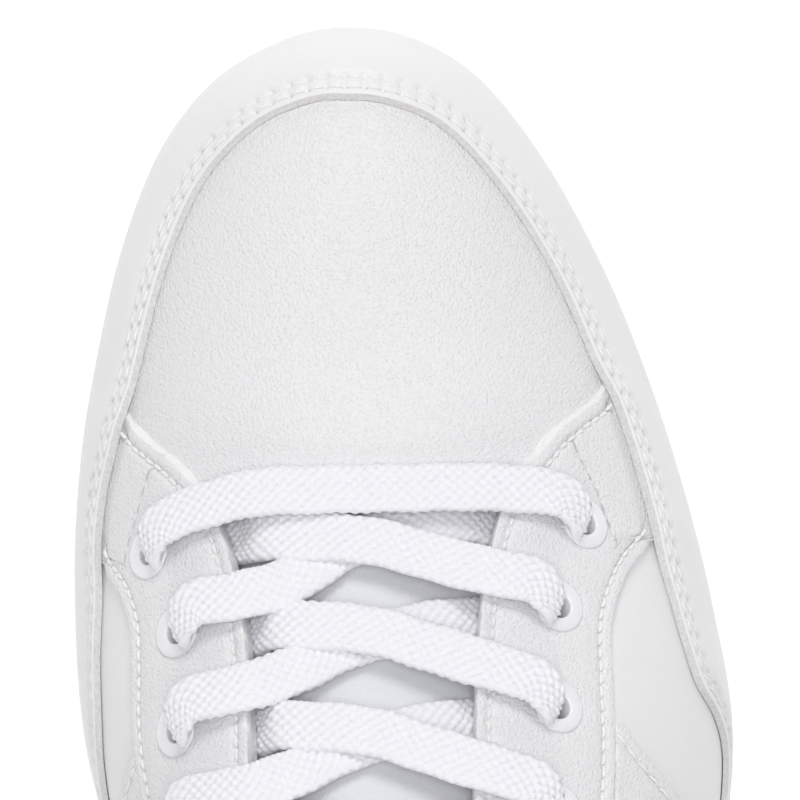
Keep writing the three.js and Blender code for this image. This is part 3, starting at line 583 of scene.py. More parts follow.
# Painted shade: a dark grey thread that stands in for the shadow in the wing seam's crease.
PAINTED_SHADE_THREAD = thread("painted_shade_thread", 0.46, 0.6)
BRAID = braid()
LINING = textile("lining_textile", (0.80, 0.81, 0.83), 0.0011)
SOCK = textile("sockliner_textile", (0.80, 0.81, 0.82), 0.0016)
SOLE_RUBBER = rubber("rubber_sole", (0.84, 0.84, 0.82), 0.55)
EVA = rubber("eva_foam", (0.86, 0.86, 0.85), 0.5)
ENAMEL = gloss("eyelet_enamel", (0.86, 0.865, 0.87), 0.22)
AGLET = gloss("clear_tip", (0.82, 0.84, 0.86), 0.12)
STIFFENER = board("stiffener", (0.74, 0.71, 0.6))
BOARD = board("fibre_board", (0.62, 0.53, 0.38))


# ---------- stitching ----------
STITCH_PITCH, THREAD_RADIUS = 2.9, 0.21
STITCH_SHARE = 0.8  # how much of the pitch the thread shows
TREAD_DEPTH = 1.3


class Rows:
    """Stitch rows of one panel: they dent the panel, and their threads become one mesh."""

    def __init__(self, paths, pitch=STITCH_PITCH, radius=THREAD_RADIUS, share=STITCH_SHARE, pull=1.0):
        self.paths = [resample(p, pitch) for p in paths]
        self.radius, self.share, self.pull = radius, share, pull
        self.line = distance_to(np.concatenate([resample(p, 0.35) for p in self.paths]))
        self.holes = distance_to(np.concatenate(self.paths))

    def dent(self, points):
        """How far the seam pulls the leather in at these points of the reference surface."""
        groove = 0.3 * np.exp(-((self.line(points) / 0.6) ** 2))
        puncture = 0.55 * np.exp(-((self.holes(points) / 0.42) ** 2))
        return (groove + puncture) * self.pull

    def sew(self, name, lift, material=THREAD):
        """Thread along every row, at lift or lift(station, degrees) above the reference surface."""
        verts, faces = [], []
        rings, sides = 9, 6
        angles = np.arange(sides) * 2 * math.pi / sides
        gap = 0.5 * (1 - self.share)
        for path in self.paths:
            s, d = path[:, 0], path[:, 1]
            hole = layer(s, d, lift(s, d) if callable(lift) else lift)
            up = normal(s, d)
            for i in range(len(path) - 1):
                a, b = hole[i], hole[i + 1]
                n = unit(up[i] + up[i + 1])
                across = np.cross(n, unit(b - a))
                wobble = RNG.normal(0, 0.05, 2)
                faces += tube_faces(rings, sides, len(verts))
                for k in range(rings):
                    t = k / (rings - 1)
                    arch = math.sin(math.pi * t)
                    spot = a + (b - a) * (gap + (1 - 2 * gap) * t) + n * (-0.45 + 0.42 * arch**0.4)
                    spot = spot + across * (wobble[0] + wobble[1] * (t - 0.5))
                    girth = self.radius * (0.72 + 0.28 * arch) * (1 + 0.10 * math.cos(t * 19))
                    for w in angles:
                        twist = 1 + 0.12 * math.cos(2 * w + 9 * t)
                        verts.append(spot + (across * math.cos(w) * 1.1 + n * math.sin(w)) * girth * twist)
        make_object(name, np.array(verts), faces, [material])


def rounding(distance, radius):
    """How far a cut edge's corner drops within this radius of the edge."""
    inside = np.clip(1 - distance / radius, 0, 1)
    return radius * 0.6 * (1 - np.sqrt(np.maximum(0, 1 - inside**2)))


FOOT_LOW, TURNED_FOOT = -12.0, (-72.0, -52.0, -32.0)  # degrees: the overlays turn in under the rim
FINE = [0, 0.05, 0.14, 0.28, 0.5, 0.9, 1.3, 1.7, 2.1, 2.5, 3.0, 3.5, 4.0, 4.6]  # mm in from a rounded edge


def overlay(names, grid, outline, paths, rise, leathers, bulge=level(0.0)):
    """An overlay with rounded edges and a soft swell behind its seam. Names: panel, stitches and node."""
    S, D = grid
    rows, base = Rows(paths), surface(S, D)
    distance = distance_to(outline)(base)
    under = bulge(S, D)
    swell = rise * smooth((distance - SEAM_BAND) / 5)
    h = under + swell - rounding(distance, EDGE_ROUND) - rows.dent(base)
    obj = shell(names[0], layer(S, D, h), layer(S, D, under - OVERLAY_THICK), leathers)
    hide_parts(names[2])
    rows.sew(names[1], lambda s, d: bulge(s, d) + FLAT_THREAD)


def columns(s_values, low, high, start, end, step):
    """Station and degree grids of a ruled panel, with rows placed by millimetres from its two edges."""
    lo, hi = low(s_values), high(s_values)
    probe = np.linspace(0, 1, 12)[:, None]
    points = surface(np.broadcast_to(s_values, (12, len(s_values))), lo + (hi - lo) * probe)
    height = np.linalg.norm(np.diff(points, axis=0), axis=2).sum(0)
    t = ladder(height, start, end, step)
    degrees = lo + (hi - lo) * t
    return np.broadcast_to(s_values, degrees.shape), degrees


# ---------- sole ----------
def inset_rim(s, distance):
    a, b = rim(s - 0.01), rim(s + 0.01)
    t = unit(b - a)
    p = rim(s)
    return np.stack([p[:, 0] + t[:, 1] * distance, p[:, 1] - t[:, 0] * distance], axis=1)


def sole_ring(s, distance, z):
    xy = inset_rim(s, distance)
    return np.concatenate([xy, z(xy[:, 1])[:, None]], axis=1)


def cap(lateral, medial, across=57):
    """Rows of points between matching rim points of the two sides."""
    t = np.linspace(0, 1, across)[:, None, None]
    return lateral[None] * (1 - t) + medial[None] * t


def sole_block(name, node, profile, bottom, top, material):
    """A sole layer: side rings from profile (inset, height function), closed by two shaped caps."""
    s = between(0, LAST, 1.6)
    lateral = [sole_ring(s, d, z) for d, z in profile]
    medial = [sole_ring(-s, d, z) for d, z in profile]
    low, high = bottom(cap(lateral[0], medial[0])), top(cap(medial[-1], lateral[-1]))
    verts, faces, start = [], [], 0
    for g in (np.stack(lateral)[:, ::-1], np.stack(medial), low, high):
        verts.append(g.reshape(-1, 3))
        faces += grid_faces(g.shape[0], g.shape[1], start).tolist()
        start += g.shape[0] * g.shape[1]
    obj = make_object(name, np.concatenate(verts), faces, [material])
    settle(obj, 35, 3e-5)
    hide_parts(node)


def ridges(value, pitch):
    """Rounded bars of rubber, 0 to 1, repeating at this pitch."""
    return smooth((0.5 - np.abs(np.mod(value / pitch, 1) - 0.5)) * 6 - 0.4)


def tread(grid):
    """Herringbone grooves and two pivot circles pressed into the bottom of the outsole."""
    x, y = grid[..., 0], grid[..., 1]
    edge = np.minimum(np.arange(grid.shape[0]), np.arange(grid.shape[0])[::-1])[:, None] * np.ones_like(x)
    wave = 7.0 * np.abs(np.mod(x / 14.0, 1) * 2 - 1)
    bars = ridges(y + wave, 6.0)
    for cx, cy, reach in ((-2, 82, 22), (0, -98, 16)):
        r = np.hypot(x - cx, y - cy)
        inside = smooth(reach - r)
        bars = bars * (1 - inside) + ridges(r, 5.0) * inside
    out = grid.copy()
    out[..., 2] += TREAD_DEPTH * (1 - bars) * smooth((edge - 1.5) / 2)
    return out


def dished(grid):
    """The sockliner's face: cupped at its edges, more so at the heel, with a rise under the arch."""
    x, y = grid[..., 0], grid[..., 1]
    t = np.linspace(-1, 1, grid.shape[0])[:, None]
    cup = np.abs(t) ** 4 * (1.2 + 2.2 * smooth((-60 - y) / 50))
    arch = 2.5 * np.exp(-((x + 30) / 14) ** 2) * np.exp(-((y + 20) / 40) ** 2)
    out = grid.copy()
    out[..., 2] += cup + arch - 0.5
    return out


def redress(node, material):
    """A better material for a hidden stiff part that the CAD solid shows well enough."""
    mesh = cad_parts[node].data
    mesh.materials.clear()
    mesh.materials.append(material)


def build_sole():
    spring = lambda rise: (lambda y: spring_z(y) + rise)
    down = lambda drop: (lambda y: feather_z(y) - drop)
    mix = lambda t: (lambda y: spring_z(y) + RUBBER + 0.3 + (feather_z(y) - 0.6 - spring_z(y) - RUBBER) * t)
    keep = lambda g: g
    foot = [(3.0, 0), (2.2, 0.25), (1.5, 0.9), (1.15, 1.8), (1.05, 3.6), (1.3, RUBBER)]
    sole_block("outsole_tread", "outsole", [(inset, spring(z)) for inset, z in foot], tread, keep,
               SOLE_RUBBER)
    wall = [(1.5, 0), (1.0, 0.04), (0.75, 0.12), (0.62, 0.35), (0.6, 0.6), (0.62, 0.70), (1.05, 0.73),
            (1.05, 0.76), (0.62, 0.79), (0.65, 0.93), (0.85, 0.985)]
    sole_block("midsole_wall", "midsole", [(inset, mix(t)) for inset, t in wall] + [(1.3, down(0.3))],
               keep, keep, EVA)
    sock = [(7.5, down(-2.4)), (7.2, down(-5.4)), (7.4, down(-6.2))]
    sole_block("sockliner_top", "sockliner", sock, keep, dished, SOCK)
    redress("insole_board", BOARD)


# ---------- upper ----------
def mudguard_top(s):
    return np.where(s > 0, along(MUDGUARD_TOP[1], s), along(MUDGUARD_TOP[-1], s))


def wing_lift(s, d):
    """The mudguard rides up over the eyestays' wings, which tuck under it."""
    a = np.abs(s)
    start, end = np.where(s > 0, 5.25, 5.6), np.where(s > 0, 6.52, 6.75)
    on = smooth((a - start + 0.35) / 0.5) * smooth((end + 0.3 - a) / 0.5)
    return 0.7 * on * smooth((d - mudguard_top(s) + 22) / 18)


def turned_foot(s, S, D, share):
    """Adds rows below a panel's low edge that turn in under the rim where share is 1."""
    rows = [D[0] + (t - FOOT_LOW) * share for t in TURNED_FOOT]
    return np.concatenate([np.broadcast_to(s, (len(rows), len(s))), S]), np.concatenate([np.stack(rows), D])


def build_mudguard():
    s = between(-MUDGUARD_BACK - 0.25, MUDGUARD_BACK + 0.25, 0.62)
    S, D = columns(s, level(FOOT_LOW), mudguard_top, [0, 1.5], FINE + [5.2, 6.0], 1.3)
    S, D = turned_foot(s, S, D, np.ones_like(s))
    tucked_end = 1.25 * smooth((np.abs(S) - MUDGUARD_BACK + 0.07) / 0.12)
    seen = s[np.abs(s) < MUDGUARD_BACK]
    edge_sd = np.stack([seen, mudguard_top(seen)], axis=1)
    rows = Rows([inset_path(edge_sd, m) for m in (1.5, 3.35)], pull=1.3)
    base, lift = surface(S, D), wing_lift(S, D)
    edge = distance_to(edge_sd)(base)
    swell = 0.30 * smooth(edge / 9) * smooth((D + 20) / 30)
    outer = layer(S, D, lift + swell - rounding(edge, 0.4) - rows.dent(base) - tucked_end)
    bevel = (1.0 + 0.9 * lift) * np.clip(1 - edge / 2.5, 0, 1)
    undercut = (0.12 + 0.25 * lift) * np.clip(1 - edge / 1.0, 0, 1)
    inner = layer(S, D + bevel, lift - OVERLAY_THICK + undercut - tucked_end)
    obj = shell("mudguard_band", outer, inner, [SMOOTH, SMOOTH, RAW_EDGE])
    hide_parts("mudguard")
    rows.sew("mudguard_stitches", lambda a, b: wing_lift(a, b) - 0.17)


def build_vamp():
    s = between(-VAMP_BACK, VAMP_BACK, 1.15)
    S, D = columns(s, level(PANEL_FOOT), level(RIDGE_TOP), [0, 2], [0, 1.0], 1.15)
    sheet = lambda h: ease_ridge(layer(S, D, h), D)
    edge = distance_to(np.stack([s, mudguard_top(s)], axis=1))(surface(S, D))
    above = smooth((D - mudguard_top(S)) / 3)
    h = BASE_FACE + 0.3 * above * smooth(edge / 12) * smooth((VAMP_BACK - 0.1 - np.abs(S)) / 0.9)
    obj = shell("vamp_upper", sheet(h), sheet(BASE_FACE - BASE_THICK), [GRAINED, LINING, EDGE],
                weld=True)
    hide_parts("vamp")
    h = -4.8 + 1.5 * smooth((np.abs(S) - 3.9) / 1.5)
    lining = shell("vamp_lining_cloth", sheet(h), sheet(h - 0.8), [LINING], weld=True)
    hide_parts("vamp_lining")


def ease_ridge(points, D):
    """Softens the faint crease where the two sides meet on the ridge."""
    out = points.copy()
    near = smooth((D - 72) / 16)[..., None] * 0.5
    for _ in range(6):
        rows = np.concatenate([out, out[-2::-1, ::-1][:8]], axis=0)
        blur = (rows[:-2] + 2 * rows[1:-1] + rows[2:]) / 4
        out[1:] = out[1:] * (1 - near[1:]) + blur[: out.shape[0] - 1] * near[1:]
    return out


def eyestay_low(side):
    outer = EYESTAY_OUTER[side]
    start = outer[0][0]

    def low(s):
        a = np.abs(s)
        tucked = mudguard_top(s) - 7.0
        step = smooth((a - start + 0.02) / 0.08)
        return np.where(a < start + 0.06, tucked + (along(outer, s) - tucked) * step, along(outer, s))

    return low


def build_eyestay(side):
    name, edge, low = SIDE_NAME[side], THROAT[side], eyestay_low(side)
    front = edge[0][0]
    throat_slope = (edge[1][1] - edge[0][1]) / (edge[1][0] - front)

    def high(s):
        a = np.abs(s)
        return np.where(a < front, edge[0][1] - throat_slope * (front - a), along(edge, s))

    stations = between(front - 0.12, EYESTAY_END, 0.5)
    fine = EYESTAY_END - np.array([0.010, 0.006, 0.002, 0])
    up = np.concatenate([stations[stations < EYESTAY_END - 0.02], fine])
    S, D = columns(on_side(up, side), low, high, FINE, FINE, 0.8)
    upper = np.stack([up * side, high(up * side)], axis=1)
    lower_s = up[up > EYESTAY_OUTER[side][0][0]][::-1]
    lower = np.stack([lower_s * side, along(EYESTAY_OUTER[side], lower_s)], axis=1)
    outline = resample(np.concatenate([upper[up > front], lower]), 0.3)
    rows = Rows([inset_path(outline, 2.0, side)], pitch=2.05, radius=0.29, share=0.86)
    wing = Rows([wing_line(side)], pitch=2.7, radius=0.1, share=0.76, pull=0.5)
    base = surface(S, D)
    distance = distance_to(outline)(base)
    tuck = 0.75 * smooth((mudguard_top(S) + 6.5 - D) / 4.5)
    swell = 0.12 + 0.2 * smooth((distance - SEAM_BAND) / 4)
    seats = [layer(*below(*xy, side), 0.0) for xy in EYELETS[side]]
    press = 0.35 * np.exp(-((nearest(np.array(seats))(base) / 4.4) ** 4))
    h = swell - tuck - press - rounding(distance, EDGE_ROUND) - rows.dent(base) - wing.dent(base)
    forward = np.clip(1 - (high(S) - D) / 3.0, 0, 1) * (1 - smooth((np.abs(S) - front - 0.4) / 0.3))
    inner = layer(S, D + 2.2 * forward, -tuck - OVERLAY_THICK)
    obj = shell(f"eyestay_{name}_panel", layer(S, D, h), inner, [GRAINED, LINING, EDGE])
    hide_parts(f"eyestay_{name}")
    drill(obj, side)
    rows.sew(f"eyestay_{name}_stitches", -0.08)
    # The wing seam's thread is dark grey as painted shade for the shadow in its crease.
    wing.sew(f"wing_{name}_stitches", 0.27, PAINTED_SHADE_THREAD)


def wing_line(side):
    """The extra seam that crosses each wing from the front edge down to the mudguard."""
    if side > 0:
        plan = [(24.9, 74.0), (26.3, 70.5), (28.0, 67.4), (29.0, 65.0), (30.2, 61.7), (31.8, 57.9)]
    else:
        plan = [(-37.6, 69.9), (-38.6, 67.1), (-39.5, 63.7), (-40.1, 61.2), (-41.0, 58.8), (-41.7, 54.9)]
    path = np.array([[float(v) for v in below(x, y, side)] for x, y in plan])
    return resample(path, 0.5)


def drill(obj, side):
    """Cuts the eyelet holes through a panel."""
    bm = bmesh.new()
    for xy in EYELETS[side]:
        s, d = below(*xy, side)
        at, out = surface(s, d) * MM, normal(s, d)
        turn = Vector(out).to_track_quat("Z", "Y").to_matrix().to_4x4()
        turn.translation = Vector(at)
        bmesh.ops.create_cone(bm, cap_ends=True, segments=28, radius1=HOLE_RADIUS * MM,
                              radius2=HOLE_RADIUS * MM, depth=DRILL_LENGTH * MM, matrix=turn)
    mesh = bpy.data.meshes.new("drills")
    bm.to_mesh(mesh)
    bm.free()
    drills = bpy.data.objects.new("drills", mesh)
    bpy.context.scene.collection.objects.link(drills)
    cut = obj.modifiers.new("holes", "BOOLEAN")
    cut.operation, cut.solver, cut.object = "DIFFERENCE", "EXACT", drills
    graph = bpy.context.evaluated_depsgraph_get()
    made = bpy.data.meshes.new_from_object(obj.evaluated_get(graph))
    obj.modifiers.clear()
    obj.data = made
    bpy.data.objects.remove(drills)


def quarter_top(side):
    edge = THROAT[side]

    def high(s):
        a = np.abs(s)
        front = along(edge, s) - 0.5
        corner = along(edge, np.full_like(a, EYESTAY_END))
        back = corner + (collar_angle(s, 0) - corner) * smooth((a - EYESTAY_END) / 0.5)
        return np.where(a <= EYESTAY_END, front, back)

    return high


def collar_swell(s, d):
    """The padded collar pushes the quarter out between the overlay's edge and the collar's edge."""
    drop = collar_height(s) - surface(s, d)[..., 2]
    t = np.clip(drop / 13, 0, 1)
    return 1.1 * np.sin(math.pi * t) * smooth((folded(s) - EYESTAY_END) / 1.5)


def build_quarter(side):
    def sheet(stations, step):
        s = on_side(stations, side)
        return columns(s, level(PANEL_FOOT), quarter_top(side), [0, 2], [0, 0.3, 0.9, 1.8], step)

    name = SIDE_NAME[side]
    S, D = sheet(between(QUARTER_FRONT, LAST - 0.02, 1.2), 1.3)
    obj = shell(f"quarter_{name}_panel", layer(S, D, BASE_FACE + collar_swell(S, D)),
                layer(S, D, BASE_FACE - BASE_THICK), [SMOOTH, LINING, EDGE])
    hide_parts(f"quarter_{name}")
    drill(obj, side)
    S, D = sheet(between(QUARTER_FRONT, LINING_BACK, 1.3), 1.4)
    lining = shell(f"quarter_lining_{name}_cloth", layer(S, D, LINING_FACE),
                   layer(S, D, LINING_FACE - LINING_THICK), [LINING])
    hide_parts(f"quarter_lining_{name}")
    drill(lining, side)


def rear_top(side):
    def high(s):
        a = folded(s)
        under_eyestay = along(EYESTAY_OUTER[side], a) - 0.5
        return under_eyestay + (collar_angle(s, 9) - under_eyestay) * smooth((a - EYESTAY_END - 0.05) / 0.7)

    return high


def side_edge(station, low, high):
    """The straight end of an overlay, as (station, degrees) from low to high."""
    return np.array([(station, v) for v in np.linspace(low, high, 40)])


def build_rear_overlay(side):
    diagonal, high = REAR_DIAGONAL[side], rear_top(side)
    start, notch = diagonal[0][0], diagonal[-1][0]
    turn = lambda s: smooth((np.abs(s) - notch + 0.06) / 0.08)
    low = lambda s: along(diagonal, s) + (FOOT_LOW - along(diagonal, s)) * turn(s)
    fine = REAR_BACK - np.array([0.03, 0.018, 0.008, 0])
    corner = np.linspace(notch - 0.08, notch + 0.04, 16)
    a = between(start, REAR_BACK, 0.7)
    before, after = a[a < corner[0] - 0.01], a[(a > corner[-1] + 0.01) & (a < fine[0] - 0.02)]
    up = np.concatenate([before, corner, after, fine])
    s = on_side(up, side)
    S, D = columns(s, low, high, FINE[:10], FINE[:10], 1.0)
    up = up * side
    top = np.stack([up, high(up)], axis=1)
    front = np.linspace(notch + 0.2, start, 300) * side
    front = np.stack([front, low(front)], axis=1)
    back = side_edge(REAR_BACK * side, high(np.array([REAR_BACK * side]))[0], -10)
    outline = resample(np.concatenate([front, top, back]), 0.3)
    above = np.abs(top[:, 0]) > EYESTAY_END + 0.15
    seams = [resample(path, 0.3) for path in (front, np.concatenate([top[above], back]))]
    name = f"rear_overlay_{SIDE_NAME[side]}"
    overlay((name, name + "_stitches", f"quarter_overlay_{SIDE_NAME[side]}"), turned_foot(s, S, D, turn(s)),
            outline, [inset_path(seam, 1.9, side) for seam in seams], 0.25, [GRAINED, LINING, EDGE])


def build_heel():
    a, b = REAR_BACK + 0.015, 2 * LAST - REAR_BACK - 0.015
    s = fine_ends(a, b, 0.8)
    high = collar_angle(s, HEEL_DROP)
    S, D = columns(s, level(FOOT_LOW), lambda v: collar_angle(v, HEEL_DROP), FINE[:10], FINE[:10], 1.0)
    top = np.stack([s, high], axis=1)
    outline = np.concatenate([side_edge(a, -10, high[0]), top, side_edge(b, high[-1], -10)])
    outline = resample(outline, 0.3)
    overlay(("heel_overlay_panel", "heel_overlay_stitches", "heel_overlay"),
            turned_foot(s, S, D, np.ones_like(s)), outline, [inset_path(outline, SEAM_BAND)], 0.3,
            [SMOOTH, LINING, EDGE])


def build_heel_tab():
    a, b = TAB_BACK, 2 * LAST - TAB_BACK
    s = fine_ends(a, b, 0.7)
    low, high = lambda v: collar_angle(v, TAB_DROP), lambda v: collar_angle(v, 0.6)
    top, bottom = np.stack([s, high(s)], axis=1), np.stack([s[::-1], low(s[::-1])], axis=1)
    ends = side_edge(a, low(a), top[0, 1]), side_edge(b, top[-1, 1], low(b))
    outline = resample(np.concatenate([ends[0], top, ends[1], bottom]), 0.3)
    overlay(("heel_tab_panel", "heel_tab_stitches", "heel_tab"),
            columns(s, low, high, FINE[:10], FINE[:10], 1.0), outline, [inset_path(outline, SEAM_BAND)], 0.2,
            [GRAINED, LINING, EDGE], lambda p, q: 0.8 * collar_swell(p, q))


def build_collar():
    """Padded collar lining: up the inside, out over the padding, and over the top to the quarter's edge."""
    s = between(LINING_BACK - 0.35, 2 * LAST - LINING_BACK + 0.35, 1.2)
    top = collar_angle(s, 0)
    t = np.linspace(0, 1, 46)[:, None]
    D = PANEL_FOOT + (top - PANEL_FOOT) * t
    S = np.broadcast_to(s, D.shape)
    drop = (collar_height(S) - surface(S, D)[..., 2]) / COLLAR_DEPTH
    fade = smooth((folded(S) - LINING_BACK + 0.3) / 1.5)
    bulge = 4.5 * np.sin(math.pi * np.clip(drop, 0, 1)) ** 0.8 * fade
    pleats = 0.12 * np.sin(S * 42) * np.clip(1 - np.abs(drop - 0.12) / 0.12, 0, 1) * fade
    inside = layer(S, D, -4.2 - 0.6 * (1 - t) - bulge - pleats)
    up, out = np.array([0, 0, 1.0]), normal(s, top)
    crest = [surface(s, top) + out * (-2.75 - 1.55 * math.cos(a)) + up * (1.5 * math.sin(a))
             for a in map(math.radians, np.linspace(20, 180, 10))]
    rim_rows = np.broadcast_to(s, (4, len(s)))
    outside = layer(rim_rows, np.stack([top, top - 0.6, top - 1.2, top - 2.0]),
                    np.array([-1.2, -1.25, -1.4, -1.6])[:, None] + collar_swell(s, top - 1.0))
    face = np.concatenate([inside, np.stack(crest), outside])
    outward = np.concatenate([-normal(S, D), np.broadcast_to(up, (len(crest), len(s), 3)),
                              normal(rim_rows, np.broadcast_to(top, rim_rows.shape))])
    back = face - outward * 0.6
    obj = shell("collar_lining", face[::-1], back[::-1], [LINING])
    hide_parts("heel_lining", "collar_padding")
    redress("heel_counter", STIFFENER)
    redress("toe_puff", STIFFENER)
    rows = Rows([resample(np.stack([s, collar_angle(s, 2.6)], axis=1), 0.5)], pitch=3.0)
    rows.sew("collar_stitches", lambda p, q: BASE_FACE + collar_swell(p, q) + 0.02)


# ---------- tongue ----------
TONGUE_EDGE = {
    1: [(5.9, 66), (6.6, 62), (7.4, 60.5), (8.5, 59), (9.5, 57), (10, 54), (10.4, 51), (10.85, 53)],
    -1: [(5.9, 60), (6.6, 56), (7.4, 54.5), (8.5, 52), (9.5, 50), (10, 47.5), (10.4, 45), (10.85, 47)],
}


def build_tongue():
    """One padded pillow: t runs from the vamp to the free end, and u across it from -1 to 1."""
    t, u = np.linspace(0, 1, 110), np.linspace(-1, 1, 61)
    s = TONGUE_START + (TONGUE_END - TONGUE_START) * t
    u = np.sin(u * math.pi / 2) * 0.5 + u * 0.5
    corners = np.clip((t - 0.88) / 0.12, 0, 1)
    narrow = np.sqrt(np.maximum(0.0, 1 - 0.72 * corners**3))
    lateral, medial = along(TONGUE_EDGE[1], s), along(TONGUE_EDGE[-1], s)
    edge = np.where(u[None] > 0, lateral[:, None], medial[:, None])
    D = 90 + (edge - 90) * np.abs(u)[None] * narrow[:, None]
    S = np.where(u[None] < 0, -1, 1) * s[:, None]
    lift = -6.9 + 4 * smooth((s - 10) / 0.9)
    pad = 3 + 3.5 * smooth((s - 8) / 1.8)
    rim_t = np.clip((1 - np.abs(u)) / 0.22, 0, 1)[None]
    tip_t = np.clip((1 - t) / 0.045, 0, 1)[:, None]
    round_u = np.sqrt(1 - (1 - rim_t) ** 2) * np.sqrt(1 - (1 - tip_t) ** 2)
    channel = np.exp(-(((1 - np.abs(u))[None] - 0.16) / 0.025) ** 2) * (t[:, None] < 0.94)
    crown = 2.5 * np.cos(u * math.pi / 2)[None] * smooth((s - TONGUE_START) / 0.7)[:, None]
    total = 1.5 + pad[:, None] + 1.1
    waves = 0.18 * np.sin(s * 9.0)[:, None] * np.cos(u * 2.2)[None] * smooth((s - 8.6) / 1.0)[:, None]
    top = lift[:, None] - total * 0.5 * (1 - round_u) - 0.45 * channel * round_u + crown + waves
    bottom = lift[:, None] - total + total * 0.5 * (1 - round_u)
    # The tongue's face takes the darker, bluer leather: painted shade.
    obj = shell("tongue", layer(S, D, top), layer(S, D, bottom - 0.02), [SHADED_TONGUE_LEATHER, LINING],
                body=None)
    halves = ("lower", "upper")
    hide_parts(*[f"tongue_{part}_{half}" for part in ("face", "padding", "lining") for half in halves])
    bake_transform(obj)


# ---------- eyelets and lace ----------
LANE = -5.6
OVER_BOW, UNDER_BOW = 6.4, 5.25
FIRST_HUMP = {True: (1.5, 0.12, 0.14), False: (2.6, 0.34, 0.2)}  # height, centre, width; True: over strand
BAR = [(-22.5, 65.6, 1.1), (-14, 66.5, 0.1), (-1, 66.9, -0.3), (9.5, 66.8, 0.4), (17, 66.1, 1.35)]
PAIRS = 6


def build_eyelets():
    """Enamelled rings, each with a rounded face and a barrel that goes down through the layers."""
    arc = [math.radians(a) for a in np.linspace(0, 180, 11)]
    face = [(2.95 - 1.05 * math.cos(a), 0.22 + 0.4 * math.sin(a) ** 0.6) for a in arc]
    profile = [(1.9, -4.0), *face, (3.45, -0.3), (2.4, -0.3), (2.4, -4.0)]
    segments = 40
    faces = tube_faces(segments, len(profile), closed=True)
    for side, name in SIDE_NAME.items():
        for i, xy in enumerate(EYELETS[side]):
            s, d = below(*xy, side)
            centre, out = surface(s, d), normal(s, d)
            u = unit(np.cross(out, [0.3, 0.9, 0.1]))
            v = np.cross(out, u)
            verts = [centre + (u * math.cos(w) + v * math.sin(w)) * r + out * z
                     for w in np.arange(segments) * 2 * math.pi / segments for r, z in profile]
            obj = make_object(f"eyelet_{name}_{i + 1}_ring", np.array(verts), faces, [ENAMEL])
            settle(obj, 60)
            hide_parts(f"eyelet_{name}_{i + 1}")


def heelward(s, d):
    return rimward(s, d) * np.sign(s)


class Seat:
    def __init__(self, side, index):
        self.side, self.index = side, index
        self.x, self.y = EYELETS[side][index]
        self.s, self.d = below(self.x, self.y, side)
        self.throat = surface(self.s, along(THROAT[side], self.s))[0]


def route_point(s, d, offset, pinch=0.0):
    return layer(s, d, offset), heelward(s, d), pinch


def over_plan(x, y, side, offset, pinch=0.0):
    s, d = below(x, y, side)
    return route_point(s, d, offset, pinch)


def near_eyelet(seat, neighbour, distance, height, pinch, aside=0.0):
    out, centre = normal(seat.s, seat.d), surface(seat.s, seat.d)
    towards = np.array([neighbour[0], neighbour[1], centre[2]]) - centre
    towards = unit(towards - out * (towards @ out))
    across = heelward(seat.s, seat.d)
    across = unit(across - towards * (across @ towards))
    return centre + towards * distance + across * aside + out * height, across, pinch


def enter(seat, origin):
    steps = [(5.5, 2.2, 0), (2.6, 2.1, 0.15, 0.7), (0.75, 1.0, 0.6, 1.6), (0.35, -1.8, 1, 0.7)]
    return [near_eyelet(seat, origin, *step) for step in steps]


def leave_inside(seat, target):
    steps = [(0.1, -3.9, 1), (1.7, LANE, 0.8), (5.2, LANE, 0.3)]
    return [near_eyelet(seat, target, *step) for step in steps]


def crossing(a, b):
    """From inside one eyelet, out under the throat edge, and across in a bow towards the toe to the next."""
    over = a.side < 0
    middle = -1.2 if over else -3.05
    bow = OVER_BOW if over else UNDER_BOW
    height, centre, width = FIRST_HUMP[over] if a.index == 0 else (0.0, 0.5, 1.0)
    leave, land = (a.throat - a.x) / (b.x - a.x), (b.throat - a.x) / (b.x - a.x)

    def plan(u):
        hump = height * math.exp(-(((u - centre) / width) ** 2))
        return a.x + (b.x - a.x) * u, a.y + (b.y - a.y) * u + bow * math.sin(math.pi * u) + hump

    def at(u, offset):
        return over_plan(*plan(u), a.side if u < 0.5 else b.side, offset)

    rising, falling = (-2.2, -0.6) if over else (-3.6, -1.8)
    span = [(leave, -4.8), (leave + 0.07, rising), (0.5, middle), (land - 0.1, falling), (land, 1.15)]
    return [*leave_inside(a, plan(0.2)), *(at(*step) for step in span), *enter(b, plan(0.85))]


def tail(seat):
    points = leave_inside(seat, (seat.x + seat.side * 12, seat.y - 6))
    for ds, dd, offset, pinch in ((0.25, -10, -6, 0.1), (0.45, -19, -6.2, 0), (0.7, -29, -7.2, 0)):
        points.append(route_point(seat.s + seat.side * ds, seat.d + dd, offset, pinch))
    if seat.side > 0:
        floor = [(26, -42, 6), (22, -52, 0.6), (15, -66, 0), (10, -82, 0), (11.5, -96, 0)]
    else:
        floor = [(-21.5, -42, 6), (-17.5, -52, 0.6), (-11, -64, 0), (-7.5, -78, 0), (-9.5, -92, 0)]
    for x, y, lift in floor:
        z = feather_z(y) + 6.3 + LACE_THICK / 2 + 0.4 + lift
        points.append((np.array([x, y, z]), np.array([-seat.side, 0.0, 0.0]), 0.0))
    points[-1] = (*points[-1][:2], 1.0)
    return points


def lace_half(side):
    route, seat = [], Seat(side, 0)
    for i in range(1, PAIRS):
        after = Seat(-side if i % 2 else side, i)
        route += crossing(seat, after)
        seat = after
    return route + tail(seat)


def lace_route():
    right, left = Seat(1, 0), Seat(-1, 0)
    over_vamp = [over_plan(x, y, np.sign(x + 7), h) for x, y, h in BAR]
    bar = [*enter(left, BAR[0][:2])[::-1], *over_vamp, *enter(right, BAR[-1][:2])]
    return [*lace_half(-1)[::-1], *bar, *lace_half(1)]


